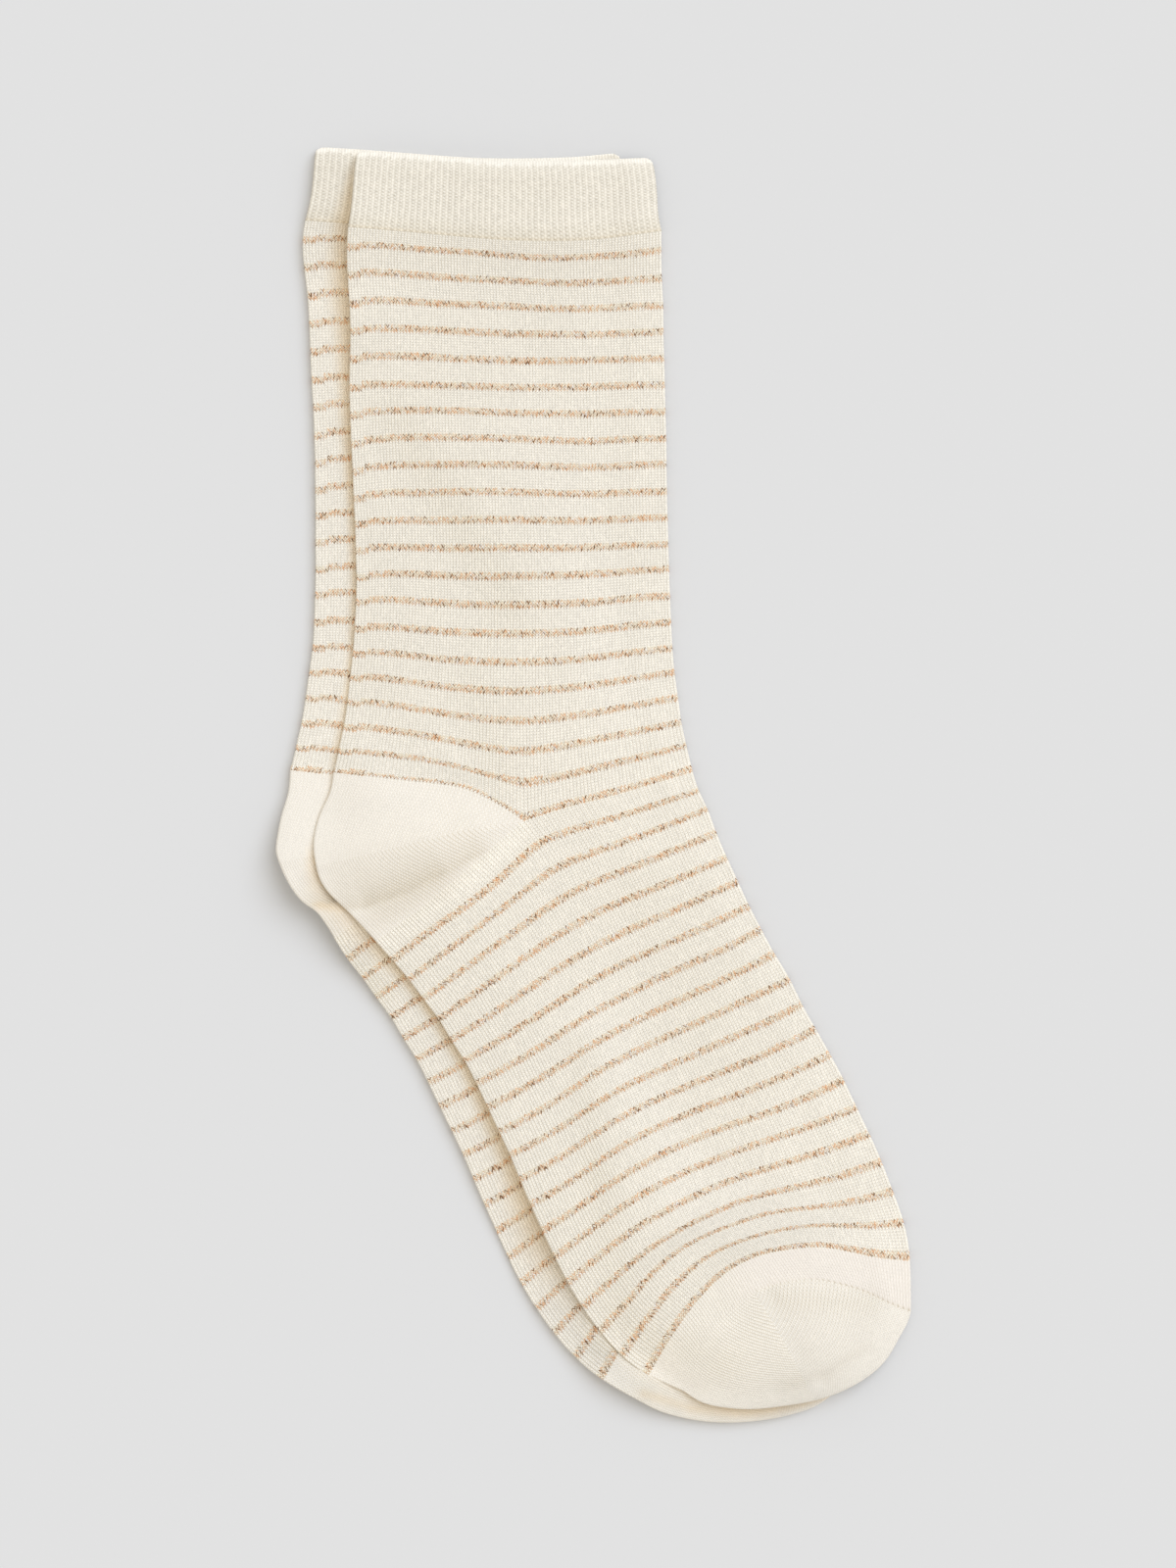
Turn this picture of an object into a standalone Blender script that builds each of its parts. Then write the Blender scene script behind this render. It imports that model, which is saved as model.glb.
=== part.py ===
"""Pair of fine-knit crew socks laid flat on a table, the upper one set a finger's width to the right
of the lower one.

Each sock is a flattened knitted tube: cuff, leg, heel pocket, foot and toe cap. The tube is lofted
through rings, and each ring follows one course of the knitting across the flat sock, goes round the
fold, and comes back on the underside. Courses are counted in stripe repeats from the cuff, so a
course number of 7 is the seventh stripe. Plan sizes are in millimetres in the tables and in metres
in the scene, with +Y towards the cuff and +X towards the instep.
"""

import math

import bpy
import numpy as np

MM = 0.001

# Cloth
WALL = 1.0  # one layer of the fine knit
CUFF_WALL = 1.5  # the welt is knitted double
FLAT = 3.0  # both layers of the flattened tube, with the air between them
CUFF_FLAT = 3.7
CUFF_BLEND = 14.0  # length over which the leg swells to the thickness of the cuff
SEAM_GAP = 0.34
RING_GAP = 0.50  # at the seams that run round the tube, where the walls lean
STACK_GAP = 0.42
SAG_REACH = 11.0  # how far past the lower sock the upper one needs to come down to the table
SAG_LIFT = 0.35

# Mesh density
ACROSS = 11  # points over the width of one layer, one of them on the line of the heel's point
FOLD_STEPS = 4

# Share of the way across at which the heel pocket comes to its point
APEX = 0.53

# Courses of the upper sock. The three dips say how far the course lies below the straight line
# between its ends, at 25 %, 53 % and 75 % of the way; kink is how sharp its middle is.
COLUMNS = "course left_x left_y right_x right_y dip_25 dip_53 dip_75 kink".split()

CUFF_COURSES = [
    (-2.50, -68.6, 183.8, 16.6, 182.0, 1.0, 2.1, 1.6, 0.0),
    (-1.00, -69.7, 171.7, 17.2, 170.9, 1.2, 2.6, 2.2, 0.0),
    (-0.20, -70.3, 165.4, 17.9, 164.8, 1.5, 3.1, 2.8, 0.0),
    (0.30, -71.0, 161.4, 19.2, 160.8, 1.6, 3.4, 3.2, 0.0),
]

LEG_COURSES = [
    (0.30, -71.0, 161.4, 19.2, 160.8, 1.6, 3.4, 3.2, 0.0),
    (1.0, -71.3, 156.0, 19.6, 155.0, 1.0, 2.6, 2.7, 0.0),
    (4.0, -70.8, 131.7, 20.1, 131.3, 0.1, 1.0, 1.2, 0.0),
    (7.0, -70.5, 107.7, 20.6, 108.0, -0.6, 0.3, 0.6, 0.0),
    (10.0, -69.5, 83.4, 21.0, 84.8, -0.8, -0.4, 0.4, 0.0),
    (13.0, -68.7, 60.8, 21.6, 62.0, 0.4, 1.3, 1.0, 0.0),
    (15.0, -69.2, 45.8, 22.2, 47.0, 1.3, 2.6, 2.0, 0.0),
    (17.0, -70.5, 31.5, 23.1, 32.4, 3.1, 4.9, 3.5, 0.0),
    (19.0, -72.3, 17.3, 25.2, 18.2, 3.7, 8.0, 4.9, 0.2),
    (20.0, -73.8, 10.4, 26.6, 11.3, 3.5, 10.2, 6.1, 0.6),
    (21.15, -75.4, 3.4, 28.3, 3.3, 3.2, 14.0, 7.8, 1.0),
]

FOOT_COURSES = [
    (21.15, -65.5, -42.6, 28.3, 3.3, -3.4, -9.1, -4.1, 1.0),
    (22.0, -58.3, -51.0, 29.9, -2.0, -3.4, -8.9, -4.9, 0.6),
    (24.0, -49.4, -62.1, 35.2, -14.3, -3.0, -5.5, -3.1, 0.2),
    (27.0, -37.4, -80.1, 44.9, -35.2, -1.3, -2.9, -1.7, 0.0),
    (30.0, -27.4, -100.5, 56.6, -56.8, -0.9, -2.3, -1.2, 0.0),
    (33.0, -18.3, -121.5, 68.4, -78.3, -2.5, -3.1, -1.1, 0.0),
    (36.0, -7.6, -144.1, 79.3, -101.5, -5.3, -6.0, -3.1, 0.0),
    (38.0, 1.7, -158.5, 86.8, -118.1, -9.6, -11.4, -6.3, 0.0),
    (39.0, 8.1, -165.6, 89.9, -126.9, -12.3, -15.3, -10.0, 0.0),
    (40.15, 16.5, -171.5, 91.6, -138.2, -13.7, -18.6, -13.2, 0.0),
]

TOE_COURSES = [
    (40.15, 16.5, -171.5, 91.6, -138.2, -13.7, -18.6, -13.2, 0.0),
    (41.0, 26.0, -175.8, 92.0, -146.5, -12.0, -16.6, -12.2, 0.0),
    (42.0, 38.5, -180.4, 91.0, -155.5, -9.0, -12.6, -9.4, 0.0),
    (43.0, 49.5, -180.8, 87.0, -163.6, -5.4, -7.8, -5.8, 0.0),
    (43.8, 58.5, -179.7, 81.0, -170.2, -2.3, -3.3, -2.4, 0.0),
    (44.2, 63.2, -178.8, 76.3, -173.5, -0.8, -1.2, -0.8, 0.0),
]

# The fold at the back of the heel, from the last leg course down to the first foot course
HEEL_FOLD_COLUMNS = "share x y".split()
HEEL_FOLD = [
    (0.00, -75.4, 3.4),
    (0.14, -78.2, -5.6),
    (0.30, -80.9, -14.6),
    (0.46, -80.8, -22.4),
    (0.62, -78.0, -29.6),
    (0.80, -72.6, -35.6),
    (1.00, -65.5, -42.6),
]

# Where the lower sock lies, as a shift of the same course of the upper one
LOWER_COLUMNS = "course left_dx left_dy right_dx right_dy".split()
LOWER_SHIFTS = [
    (-2.5, -11.7, 1.5, -9.1, 1.1),
    (0.3, -12.9, 2.5, -9.6, 2.2),
    (4.0, -11.7, 2.6, -10.2, 2.4),
    (10.0, -11.2, 2.6, -10.6, 2.4),
    (17.0, -11.9, 1.5, -11.0, 1.4),
    (21.15, -12.4, 0.6, -11.0, 0.6),
    (24.0, -13.1, 0.8, -11.4, 0.4),
    (30.0, -13.4, 0.0, -12.0, 0.0),
    (38.0, -12.8, -0.3, -11.8, -0.6),
    (40.15, -13.2, -1.2, -10.8, -1.2),
    (42.0, -10.6, -3.4, -9.6, -2.6),
    (44.2, -8.8, -3.8, -8.6, -3.6),
]

# Soft swellings of the flattened tube, at the upper sock's place
BULGE_COLUMNS = "x y reach height".split()
BULGES = [
    (-58.0, -14.0, 22.0, 1.3),
    (58.0, -152.0, 26.0, 1.1),
    (-20.0, 40.0, 45.0, -0.2),
    (16.0, -70.0, 40.0, -0.2),
]

# Shallow troughs pressed into the layer that faces up, from one end to the other
CREASE_COLUMNS = "x1 y1 x2 y2 depth width".split()
CREASES = [
    (-72.0, -35.0, -32.0, -21.5, 0.55, 5.0),
    (50.0, -175.0, 80.0, -166.0, 0.45, 4.5),
    (50.6, -146.0, 59.8, -166.0, 0.30, 3.5),
]

COLOURS = {
    "cuff": (0.79, 0.745, 0.650, 1.0),
    "leg": (0.80, 0.745, 0.640, 1.0),
    "heel": (0.87, 0.820, 0.720, 1.0),
    "foot": (0.80, 0.745, 0.640, 1.0),
    "toe": (0.82, 0.765, 0.665, 1.0),
}
ROUGHNESS = {"cuff": 0.92, "leg": 0.88, "heel": 0.9, "foot": 0.88, "toe": 0.9}


def column(table, names, name):
    """One named column of a table."""
    return np.array([row[names.index(name)] for row in table], float)


def spline(knots, values, at):
    """Natural cubic spline through values given at the knots, for one or more columns of values."""
    knots = np.asarray(knots, float)
    values = np.asarray(values, float)
    shape = values.shape[1:]
    flat = values.reshape(len(knots), -1)
    n = len(knots)
    h = np.diff(knots)
    slope = np.diff(flat, axis=0) / h[:, None]
    matrix = np.eye(n)
    right = np.zeros_like(flat)
    for i in range(1, n - 1):
        matrix[i, i - 1] = h[i - 1]
        matrix[i, i] = 2.0 * (h[i - 1] + h[i])
        matrix[i, i + 1] = h[i]
        right[i] = 6.0 * (slope[i] - slope[i - 1])
    bend = np.linalg.solve(matrix, right)
    at = np.atleast_1d(np.asarray(at, float))
    cell = np.clip(np.searchsorted(knots, at) - 1, 0, n - 2)
    a = (knots[cell + 1] - at)[:, None]
    b = (at - knots[cell])[:, None]
    width = h[cell][:, None]
    low = flat[cell]
    high = flat[cell + 1]
    result = (bend[cell] * a**3 + bend[cell + 1] * b**3) / (6.0 * width)
    result += (low / width - bend[cell] * width / 6.0) * a
    result += (high / width - bend[cell + 1] * width / 6.0) * b
    return result.reshape((len(at),) + shape)


def smooth(x):
    """Eases from 0 to 1 as x goes from 0 to 1."""
    x = np.clip(x, 0.0, 1.0)
    return x * x * (3.0 - 2.0 * x)


def parabola(x0, y0, x1, y1, x2, y2, at):
    """The parabola through three points."""
    first = y0 * (at - x1) * (at - x2) / ((x0 - x1) * (x0 - x2))
    second = y1 * (at - x0) * (at - x2) / ((x1 - x0) * (x1 - x2))
    third = y2 * (at - x0) * (at - x1) / ((x2 - x0) * (x2 - x1))
    return first + second + third


def course_line(row, share):
    """Plan points of one course at shares of the way across, 0 at the left fold, 1 at the right."""
    value = dict(zip(COLUMNS, row))
    left = np.array([value["left_x"], value["left_y"]])
    right = np.array([value["right_x"], value["right_y"]])
    chord = right - left
    down = np.array([chord[1], -chord[0]]) / np.hypot(*chord)
    dips = (0.0, value["dip_25"], value["dip_53"], value["dip_75"], 0.0)
    curve = spline((0.0, 0.25, APEX, 0.75, 1.0), dips, share)
    before = parabola(0.0, 0.0, 0.25, dips[1], APEX, dips[2], share)
    after = parabola(APEX, dips[2], 0.75, dips[3], 1.0, 0.0, share)
    pointed = np.where(share < APEX, before, after)
    dip = curve + value["kink"] * (pointed - curve)
    return left + share[:, None] * chord + dip[:, None] * down


def shifted(table, lower):
    """The course table, moved to the place of the lower sock if lower is set."""
    if not lower:
        return table
    knots = column(LOWER_SHIFTS, LOWER_COLUMNS, "course")
    names = ("left_dx", "left_dy", "right_dx", "right_dy")
    shifts = np.stack([column(LOWER_SHIFTS, LOWER_COLUMNS, n) for n in names], axis=1)
    moved = []
    for row in table:
        d = spline(knots, shifts, row[0])[0]
        ends = (row[1] + d[0], row[2] + d[1], row[3] + d[2], row[4] + d[3])
        moved.append((row[0],) + ends + tuple(row[5:]))
    return moved


def heel_fold(lower, share):
    """Plan points of the fold at the back of the heel."""
    knots = column(HEEL_FOLD, HEEL_FOLD_COLUMNS, "share")
    points = np.stack([column(HEEL_FOLD, HEEL_FOLD_COLUMNS, n) for n in "xy"], axis=1)
    if lower:
        top = np.array(shifted(LEG_COURSES, True)[-1][1:3]) - points[0]
        low = np.array(shifted(FOOT_COURSES, True)[0][1:3]) - points[-1]
        middle = np.array([-11.0, -1.2])
        ease = smooth(2.0 * knots)[:, None]
        back = smooth(2.0 * knots - 1.0)[:, None]
        points = points + top + (middle - top) * ease + (low - middle) * back
    return spline(knots, points, share)


def outline(lower, steps=40):
    """Closed plan outline of one sock."""
    left = []
    right = []
    for table in (CUFF_COURSES, LEG_COURSES, FOOT_COURSES, TOE_COURSES):
        rows = np.array(shifted(table, lower))
        at = np.linspace(rows[0, 0], rows[-1, 0], steps)
        ends = spline(rows[:, 0], rows[:, 1:5], at)
        if table is FOOT_COURSES:
            left.append(heel_fold(lower, np.linspace(0.0, 1.0, steps)))
        left.append(ends[:, :2])
        right.append(ends[:, 2:])
    return np.vstack(left + [np.vstack(right)[::-1]])


LOWER_OUTLINE = outline(True)
LOWER_OFFSET = np.array([-12.0, 0.6])


def depth_inside(points, polygon):
    """Distance of plan points from a closed outline, positive inside it."""
    start = polygon
    edge = np.roll(polygon, -1, axis=0) - start
    length2 = np.maximum((edge**2).sum(axis=1), 1e-9)
    away = points[:, None, :] - start[None]
    share = np.clip((away * edge).sum(axis=2) / length2, 0.0, 1.0)
    gap = away - share[:, :, None] * edge
    nearest = np.sqrt((gap**2).sum(axis=2).min(axis=1))
    above = start[None, :, 1] > points[:, None, 1]
    crosses = above != np.roll(above, -1, axis=1)
    rise = np.where(np.abs(edge[:, 1]) < 1e-9, 1e-9, edge[:, 1])
    x_at = start[:, 0] + (points[:, None, 1] - start[:, 1]) * edge[:, 0] / rise
    odd = (crosses & (points[:, None, 0] < x_at)).sum(axis=1) % 2 == 1
    return np.where(odd, nearest, -nearest)


def thickness(points, lower):
    """Height of the flattened tube over plan points: both layers and what is between them."""
    place = points - LOWER_OFFSET if lower else points
    seam_y = 159.5
    near_cuff = smooth((place[:, 1] - seam_y + CUFF_BLEND) / CUFF_BLEND)
    height = FLAT + (CUFF_FLAT - FLAT) * near_cuff
    for x, y, reach, rise in BULGES:
        span2 = (place[:, 0] - x) ** 2 + (place[:, 1] - y) ** 2
        height = height + rise * np.exp(-span2 / reach**2)
    return height


def underside(points, lower):
    """Height of a sock's lowest layer over plan points."""
    if lower:
        return np.zeros(len(points))
    carried = thickness(points, True) + STACK_GAP
    depth = depth_inside(points, LOWER_OUTLINE)
    ease = smooth(1.0 + depth / SAG_REACH)
    return SAG_LIFT + (carried - SAG_LIFT) * ease


def crease_depth(points, lower):
    """How far the troughs press the upper layer down at plan points."""
    place = points - LOWER_OFFSET if lower else points
    total = np.zeros(len(points))
    for x1, y1, x2, y2, depth, width in CREASES:
        start = np.array([x1, y1])
        run = np.array([x2, y2]) - start
        along = ((place - start) @ run) / (run @ run)
        nearest = start + np.clip(along, 0.0, 1.0)[:, None] * run
        gap2 = ((place - nearest) ** 2).sum(axis=1)
        total = total + depth * np.exp(-gap2 / width**2)
    return total


def ring_shares(width, height):
    """Steps round a flattened ring, as (share across, level), level 1 on top and -1 below."""
    radius = min(0.5 * height / width, 0.3)
    before = np.linspace(radius, APEX, ACROSS // 2 + 1)
    after = np.linspace(APEX, 1.0 - radius, ACROSS - ACROSS // 2)
    front = [(s, 1.0) for s in np.concatenate([before, after[1:]])]
    back = [(s, -1.0) for s, _ in reversed(front)]
    right = []
    left = []
    for k in range(1, FOLD_STEPS):
        angle = math.pi * k / FOLD_STEPS
        right.append((1.0 - radius + radius * math.sin(angle), math.cos(angle)))
        left.append((radius - radius * math.sin(angle), -math.cos(angle)))
    return np.array(front + right + back + left)


def sheet_points(plan, level, lower):
    """Places plan points at their height, level 1 on the top layer and -1 on the bottom one."""
    base = underside(plan, lower)
    high = thickness(plan, lower)
    z = base + 0.5 * high * (1.0 + level)
    z = z - crease_depth(plan, lower) * smooth(level)
    return np.column_stack([plan, z])


def tube_rings(lines, lower):
    """Rings of a flattened tube, one for each course line, a function from shares to plan points."""
    rings = []
    for line in lines:
        ends = line(np.array([0.0, 0.5, 1.0]))
        width = np.hypot(*(ends[2] - ends[0]))
        height = thickness(ends[1:2], lower)[0]
        steps = ring_shares(width, height)
        rings.append(sheet_points(line(steps[:, 0]), steps[:, 1], lower))
    return rings


def course_lines(table, lower, at, first=None):
    """Course lines at the given course numbers, splined between the rows of a table."""
    rows = shifted(table, lower)
    knots = [row[0] for row in rows]

    def line(course):
        def points(share):
            known = [course_line(row, share) for row in rows]
            if first is not None:
                known[0] = first(share)
            return spline(knots, np.array(known), course)[0]

        return points

    return [line(course) for course in at]


def leg_end(lower):
    """The last course of the leg."""
    row = shifted(LEG_COURSES, lower)[-1]
    return lambda share: course_line(row, share)


def foot_start(lower):
    """The first course of the foot: along the heel pocket, then along the leg past its apex."""
    row = shifted(FOOT_COURSES, lower)[0]
    leg = leg_end(lower)
    apex = leg(np.array([APEX]))[0]
    near = course_line(row, np.array([APEX]))[0]

    def points(share):
        own = course_line(row, share)
        pull = np.clip(share / APEX, 0.0, 1.0)[:, None] ** 2
        own = own + pull * (apex - near)
        return np.where((share < APEX)[:, None], own, leg(share))

    return points


def lowered(line, drop):
    """The same line, moved away from the cuff by drop."""
    return lambda share: line(share) - np.array([0.0, drop])


def heel_sheet(lower):
    """The heel pocket: lines fan from its apex to the fold and return on the underside."""
    upper = leg_end(lower)
    lower_line = foot_start(lower)
    apex = upper(np.array([APEX]))[0] + np.array([-0.55, -0.35])
    tip = 0.975
    rings = []
    for t in np.linspace(0.0, 1.0, 9):
        fold = heel_fold(lower, t)[0]
        width = np.hypot(*(fold - apex))
        height = thickness(fold[None], lower)[0]
        radius = 0.5 * height / width
        back = [(s, -1.0) for s in np.linspace(tip, radius, 8)]
        turn = []
        for k in range(1, FOLD_STEPS):
            angle = math.pi * k / FOLD_STEPS
            turn.append((radius - radius * math.sin(angle), -math.cos(angle)))
        front = [(s, 1.0) for s, _ in reversed(back)]
        steps = np.array(back + turn + front)
        share = steps[:, 0]
        chord = fold + share[:, None] * (apex - fold)
        top_fold = upper(np.array([0.0]))[0]
        low_fold = lower_line(np.array([0.0]))[0]
        top_dip = upper(share * APEX) - (top_fold + share[:, None] * (apex - top_fold))
        low_dip = lower_line(share * APEX) - (low_fold + share[:, None] * (apex - low_fold))
        plan = chord + (1.0 - t) ** 2 * top_dip + t**2 * low_dip
        clear = np.array([0.0, -1.25 * SEAM_GAP * (1.0 - t)])
        edge = (2.0 * t - 1.0) ** 4
        rings.append(sheet_points(plan + clear * edge, steps[:, 1], lower))
    return rings


def loft(name, rings, closed, cap=None):
    """Skins a list of rings with quads. A closed ring joins its ends, and cap closes the last one."""
    count = len(rings[0])
    points = np.vstack(rings) * MM
    faces = []
    turn = count if closed else count - 1
    for i in range(len(rings) - 1):
        for j in range(turn):
            k = (j + 1) % count
            low = i * count
            high = low + count
            faces.append((low + j, high + j, high + k, low + k))
    if cap is not None:
        tip = len(points)
        points = np.vstack([points, cap[None] * MM])
        low = (len(rings) - 1) * count
        faces += [(low + j, tip, low + (j + 1) % count) for j in range(count)]
    mesh = bpy.data.meshes.new(name)
    mesh.from_pydata(points.tolist(), [], faces)
    mesh.shade_smooth()
    mesh.set_sharp_from_angle(angle=math.radians(50.0))
    return mesh


def knit_material(name, zone):
    """A matt knitted cloth."""
    material = bpy.data.materials.new(name)
    material.use_nodes = True
    shader = material.node_tree.nodes["Principled BSDF"]
    shader.inputs["Base Color"].default_value = COLOURS[zone]
    shader.inputs["Roughness"].default_value = ROUGHNESS[zone]
    shader.inputs["Metallic"].default_value = 0.0
    shader.inputs["Sheen Weight"].default_value = 0.15
    return material


def add_piece(name, zone, mesh, wall, parent, collection):
    """Puts a lofted sheet in the scene and gives it the thickness of its cloth."""
    piece = bpy.data.objects.new(name, mesh)
    collection.objects.link(piece)
    piece.parent = parent
    mesh.materials.append(knit_material(name + "_knit", zone))
    shell = piece.modifiers.new("cloth wall", "SOLIDIFY")
    shell.thickness = wall * MM
    shell.offset = -1.0
    shell.use_even_offset = True
    shell.use_rim = True
    return piece


def build_sock(prefix, lower, collection):
    """Builds the five zones of one sock."""
    parent = bpy.data.objects.new(prefix, None)
    collection.objects.link(parent)
    half = 0.5 * RING_GAP / 8.0

    at = np.linspace(-2.5, 0.3 - half, 5)
    rings = tube_rings(course_lines(CUFF_COURSES, lower, at), lower)
    add_piece(prefix + "_cuff", "cuff", loft(prefix + "_cuff", rings, True), CUFF_WALL, parent, collection)

    at = np.concatenate([[0.3 + half, 1.0], np.arange(3.0, 19.1, 2.0), [20.0, 21.15]])
    rings = tube_rings(course_lines(LEG_COURSES, lower, at), lower)
    add_piece(prefix + "_leg", "leg", loft(prefix + "_leg", rings, True), WALL, parent, collection)

    mesh = loft(prefix + "_heel", heel_sheet(lower), False)
    add_piece(prefix + "_heel", "heel", mesh, WALL, parent, collection)

    at = np.concatenate([[21.15, 22.0, 23.0], np.arange(24.5, 37.1, 2.0), [38.0, 39.0, 40.15 - half]])
    start = lowered(foot_start(lower), 1.15 * SEAM_GAP)
    rings = tube_rings(course_lines(FOOT_COURSES, lower, at, first=start), lower)
    add_piece(prefix + "_foot", "foot", loft(prefix + "_foot", rings, True), WALL, parent, collection)

    at = np.array([40.15 + half, 40.6, 41.2, 41.8, 42.4, 43.0, 43.5, 43.9, 44.2])
    rings = tube_rings(course_lines(TOE_COURSES, lower, at), lower)
    last = rings[-1]
    beyond = last.mean(axis=0) - rings[-2].mean(axis=0)
    cap = last.mean(axis=0) + 0.45 * beyond
    mesh = loft(prefix + "_toe", rings, True, cap=cap)
    add_piece(prefix + "_toe", "toe", mesh, WALL, parent, collection)
    return parent


def centre_on_footprint(collection):
    """Moves everything so that the origin is under the middle of the pair, on the table."""
    bpy.context.view_layer.update()
    graph = bpy.context.evaluated_depsgraph_get()
    low = np.full(3, np.inf)
    high = np.full(3, -np.inf)
    for piece in collection.objects:
        if piece.type != "MESH":
            continue
        corners = np.array([v.co for v in piece.evaluated_get(graph).data.vertices])
        low = np.minimum(low, corners.min(axis=0))
        high = np.maximum(high, corners.max(axis=0))
    middle = 0.5 * (low + high)
    for piece in collection.objects:
        if piece.type == "EMPTY":
            piece.location = (-middle[0], -middle[1], -low[2])


def main():
    for old in list(bpy.data.objects):
        bpy.data.objects.remove(old, do_unlink=True)
    collection = bpy.data.collections.new("pair_of_socks")
    bpy.context.scene.collection.children.link(collection)
    build_sock("lower_sock", True, collection)
    build_sock("upper_sock", False, collection)
    centre_on_footprint(collection)


main()
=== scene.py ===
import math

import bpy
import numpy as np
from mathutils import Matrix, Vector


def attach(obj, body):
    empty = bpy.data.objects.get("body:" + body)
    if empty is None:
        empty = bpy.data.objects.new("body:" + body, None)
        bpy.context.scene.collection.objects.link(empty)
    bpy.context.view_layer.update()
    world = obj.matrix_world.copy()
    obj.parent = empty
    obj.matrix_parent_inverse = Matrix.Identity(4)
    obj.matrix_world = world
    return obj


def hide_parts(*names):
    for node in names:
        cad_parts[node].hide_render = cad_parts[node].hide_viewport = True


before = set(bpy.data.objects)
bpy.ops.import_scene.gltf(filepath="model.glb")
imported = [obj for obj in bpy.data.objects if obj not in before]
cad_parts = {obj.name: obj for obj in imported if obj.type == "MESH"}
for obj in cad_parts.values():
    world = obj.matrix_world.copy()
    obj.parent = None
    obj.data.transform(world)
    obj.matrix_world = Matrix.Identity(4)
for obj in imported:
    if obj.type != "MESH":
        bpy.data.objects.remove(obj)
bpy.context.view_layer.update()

# Pair of fine-knit crew socks lying flat, one over the other. Each sock is a flattened knitted tube
# whose mesh follows the courses of the knitting, so that the stitches, the lurex stripes and the
# turned heel and toe all come from one pair of coordinates: the wale across and the course along.
# Plan sizes are in millimetres in the tables, and courses are counted in stripe repeats.

MM = 0.001
TINY = 1e-9
CENTRE = np.array([0.2373, -0.3070, 0.0])  # from the tables' origin to the part's own
LOWER_OFFSET = np.array([-12.0, 0.6])  # about how far the lower sock lies from the upper one

# Cloth
WALL = 0.7
CUFF_WALL = 1.2
FLAT = 3.0
CUFF_FLAT = 3.9
LEG_AT_CUFF = 3.2
CUFF_LIP = 0.65  # how far the cuff comes down to the leg
LIP_REACH = 0.35  # in repeats
CUFF_ROLL = 1.9  # how much thinner the cuff is at its top edge
CUFF_ROLL_REACH = 2.8
WALL_SHARE = 0.42  # most of the tube's thickness that one wall may take
CORNER = 0.028  # share of the width over which the cuff's corners are rounded
CORNER_DROP = 1.3
CORNER_REACH = 0.5  # in repeats
RIGHT_PRESS = 1.4  # how far the lower sock is pressed thinner along its right fold
RIGHT_REACH = 20.0
PRESS_START = 0.3  # how far outside the upper sock's outline it starts to press, and over what
PRESS_REACH = 1.8
CUFF_BLEND = 14.0
STACK_GAP = 0.42
SAG_REACH = 11.0
SAG_LIFT = 0.35
SEAM_Y = 159.5
CREASE_END = 4.0  # over which a crease runs out
RIM_LIGHT = 0.3  # how much weaker the nook's shade is right at the edge
RIM_LIGHT_REACH = 1.4

# Knitting
WALES = 100.0  # over one layer
REPEAT = 10.0  # courses from stripe to stripe
REPEAT_LENGTH = 8.0
STRIPE_HALF = 1.3  # half the courses of a stripe
HEEL_COURSES = 36.0
TOE_COURSES = 50.0
HEEL_SPREAD = 0.70  # how evenly the wales lie along the gore
TOE_SPREAD = 0.52
CUFF_COURSES = 0.87  # rows of beads for one course
RIM_COURSES = 3.0  # drawn across the cut edge of a wall
OTHER_SIDE = 1000.0  # added to the courses beyond the seam that links the toe

# Mesh
FOLD = 0.006  # how far the side folds are rounded, as a share of the width
FOLD_STEPS = 8
ROUND_STEPS = 9  # over the cuff's top
ROWS_A_REPEAT = 8.0
TOE_ROWS_A_REPEAT = 9.0
HEEL_STEPS = 26.0  # in each wedge
TOE_STEPS = 40.0
INNER_STEP = 4  # rows of the outer surface for one of the inner
WELDS_A_MM = 500.0
FACES_UP = 0.3  # the least upward part of a normal where a shade is drawn
APEX = 0.53  # share across at which the heel comes to its point
TOE_APEX = 0.44  # the same for the toe
HEEL_END_REACH = 0.36  # share across over which the end of the lower heel's fold is moved

CUFF_TOP = -2.5
LEG_START = 0.30
LEG_END = 21.15
FOOT_END = 40.15
TUBE_END = 41.30
HEEL_START = REPEAT * LEG_END  # in courses
TOE_START = REPEAT * TUBE_END

# Yarn
YARN_ROUGH = 0.92
LUREX_ROUGH = 0.38
YARN_GLOSS = {
    "Specular IOR Level": 0.25,
    "Sheen Weight": 0.12,
    "Sheen Roughness": 0.6,
    "Sheen Tint": (1.0, 0.96, 0.88, 1.0),
}
# Painted shade: what the knit's colour is multiplied by in its gaps where it is drawn open, in the
# nook beside the upper sock (a warm shade), and where the dim shade falls (a grey shade)
OPEN_GAP_SHADE_TINT = (0.89, 0.87, 0.81)
NOOK_SHADE_TINT = (1.0, 0.88, 0.715)
DIM_SHADE_TINT = (0.86, 0.865, 0.88)

# Picture
PIXEL = 1.0 / 3.52  # millimetres on the socks for one pixel of the picture
PICTURE_HEIGHT = 1600
CAMERA_X = -5.5  # in pixels
LENS = 120.0
SENSOR = 36.0
SOCKS_TOP = 4.0
FLOOR_HALF = 3.0  # metres
TO_SUN = (0.60, 0.50, 1.0)

# The courses of the upper sock as read from the photo: course, left end x y, right end x y,
# how far the line sags below its chord at the seven inner nodes, and how sharp its kink is
NODES = (0.0, 0.125, 0.25, 0.375, APEX, 0.625, 0.75, 0.875, 1.0)

CUFF_ROWS = [
    (-2.5, -68.6, 183.8, 17.1, 182, 0.45, 1, 1.6, 2.1, 2, 1.6, 0.9, 0),
    (-1, -69.7, 171.7, 18.5, 171, 0.55, 1.2, 1.95, 2.6, 2.6, 2.2, 1.2, 0),
    (-0.2, -70.3, 165.4, 18.9, 165, 0.7, 1.5, 2.35, 3.1, 3.15, 2.8, 1.6, 0),
    (0.3, -71, 161, 19.8, 160.4, 0.75, 1.6, 2.55, 3.4, 3.5, 3.2, 1.9, 0),
]

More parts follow.
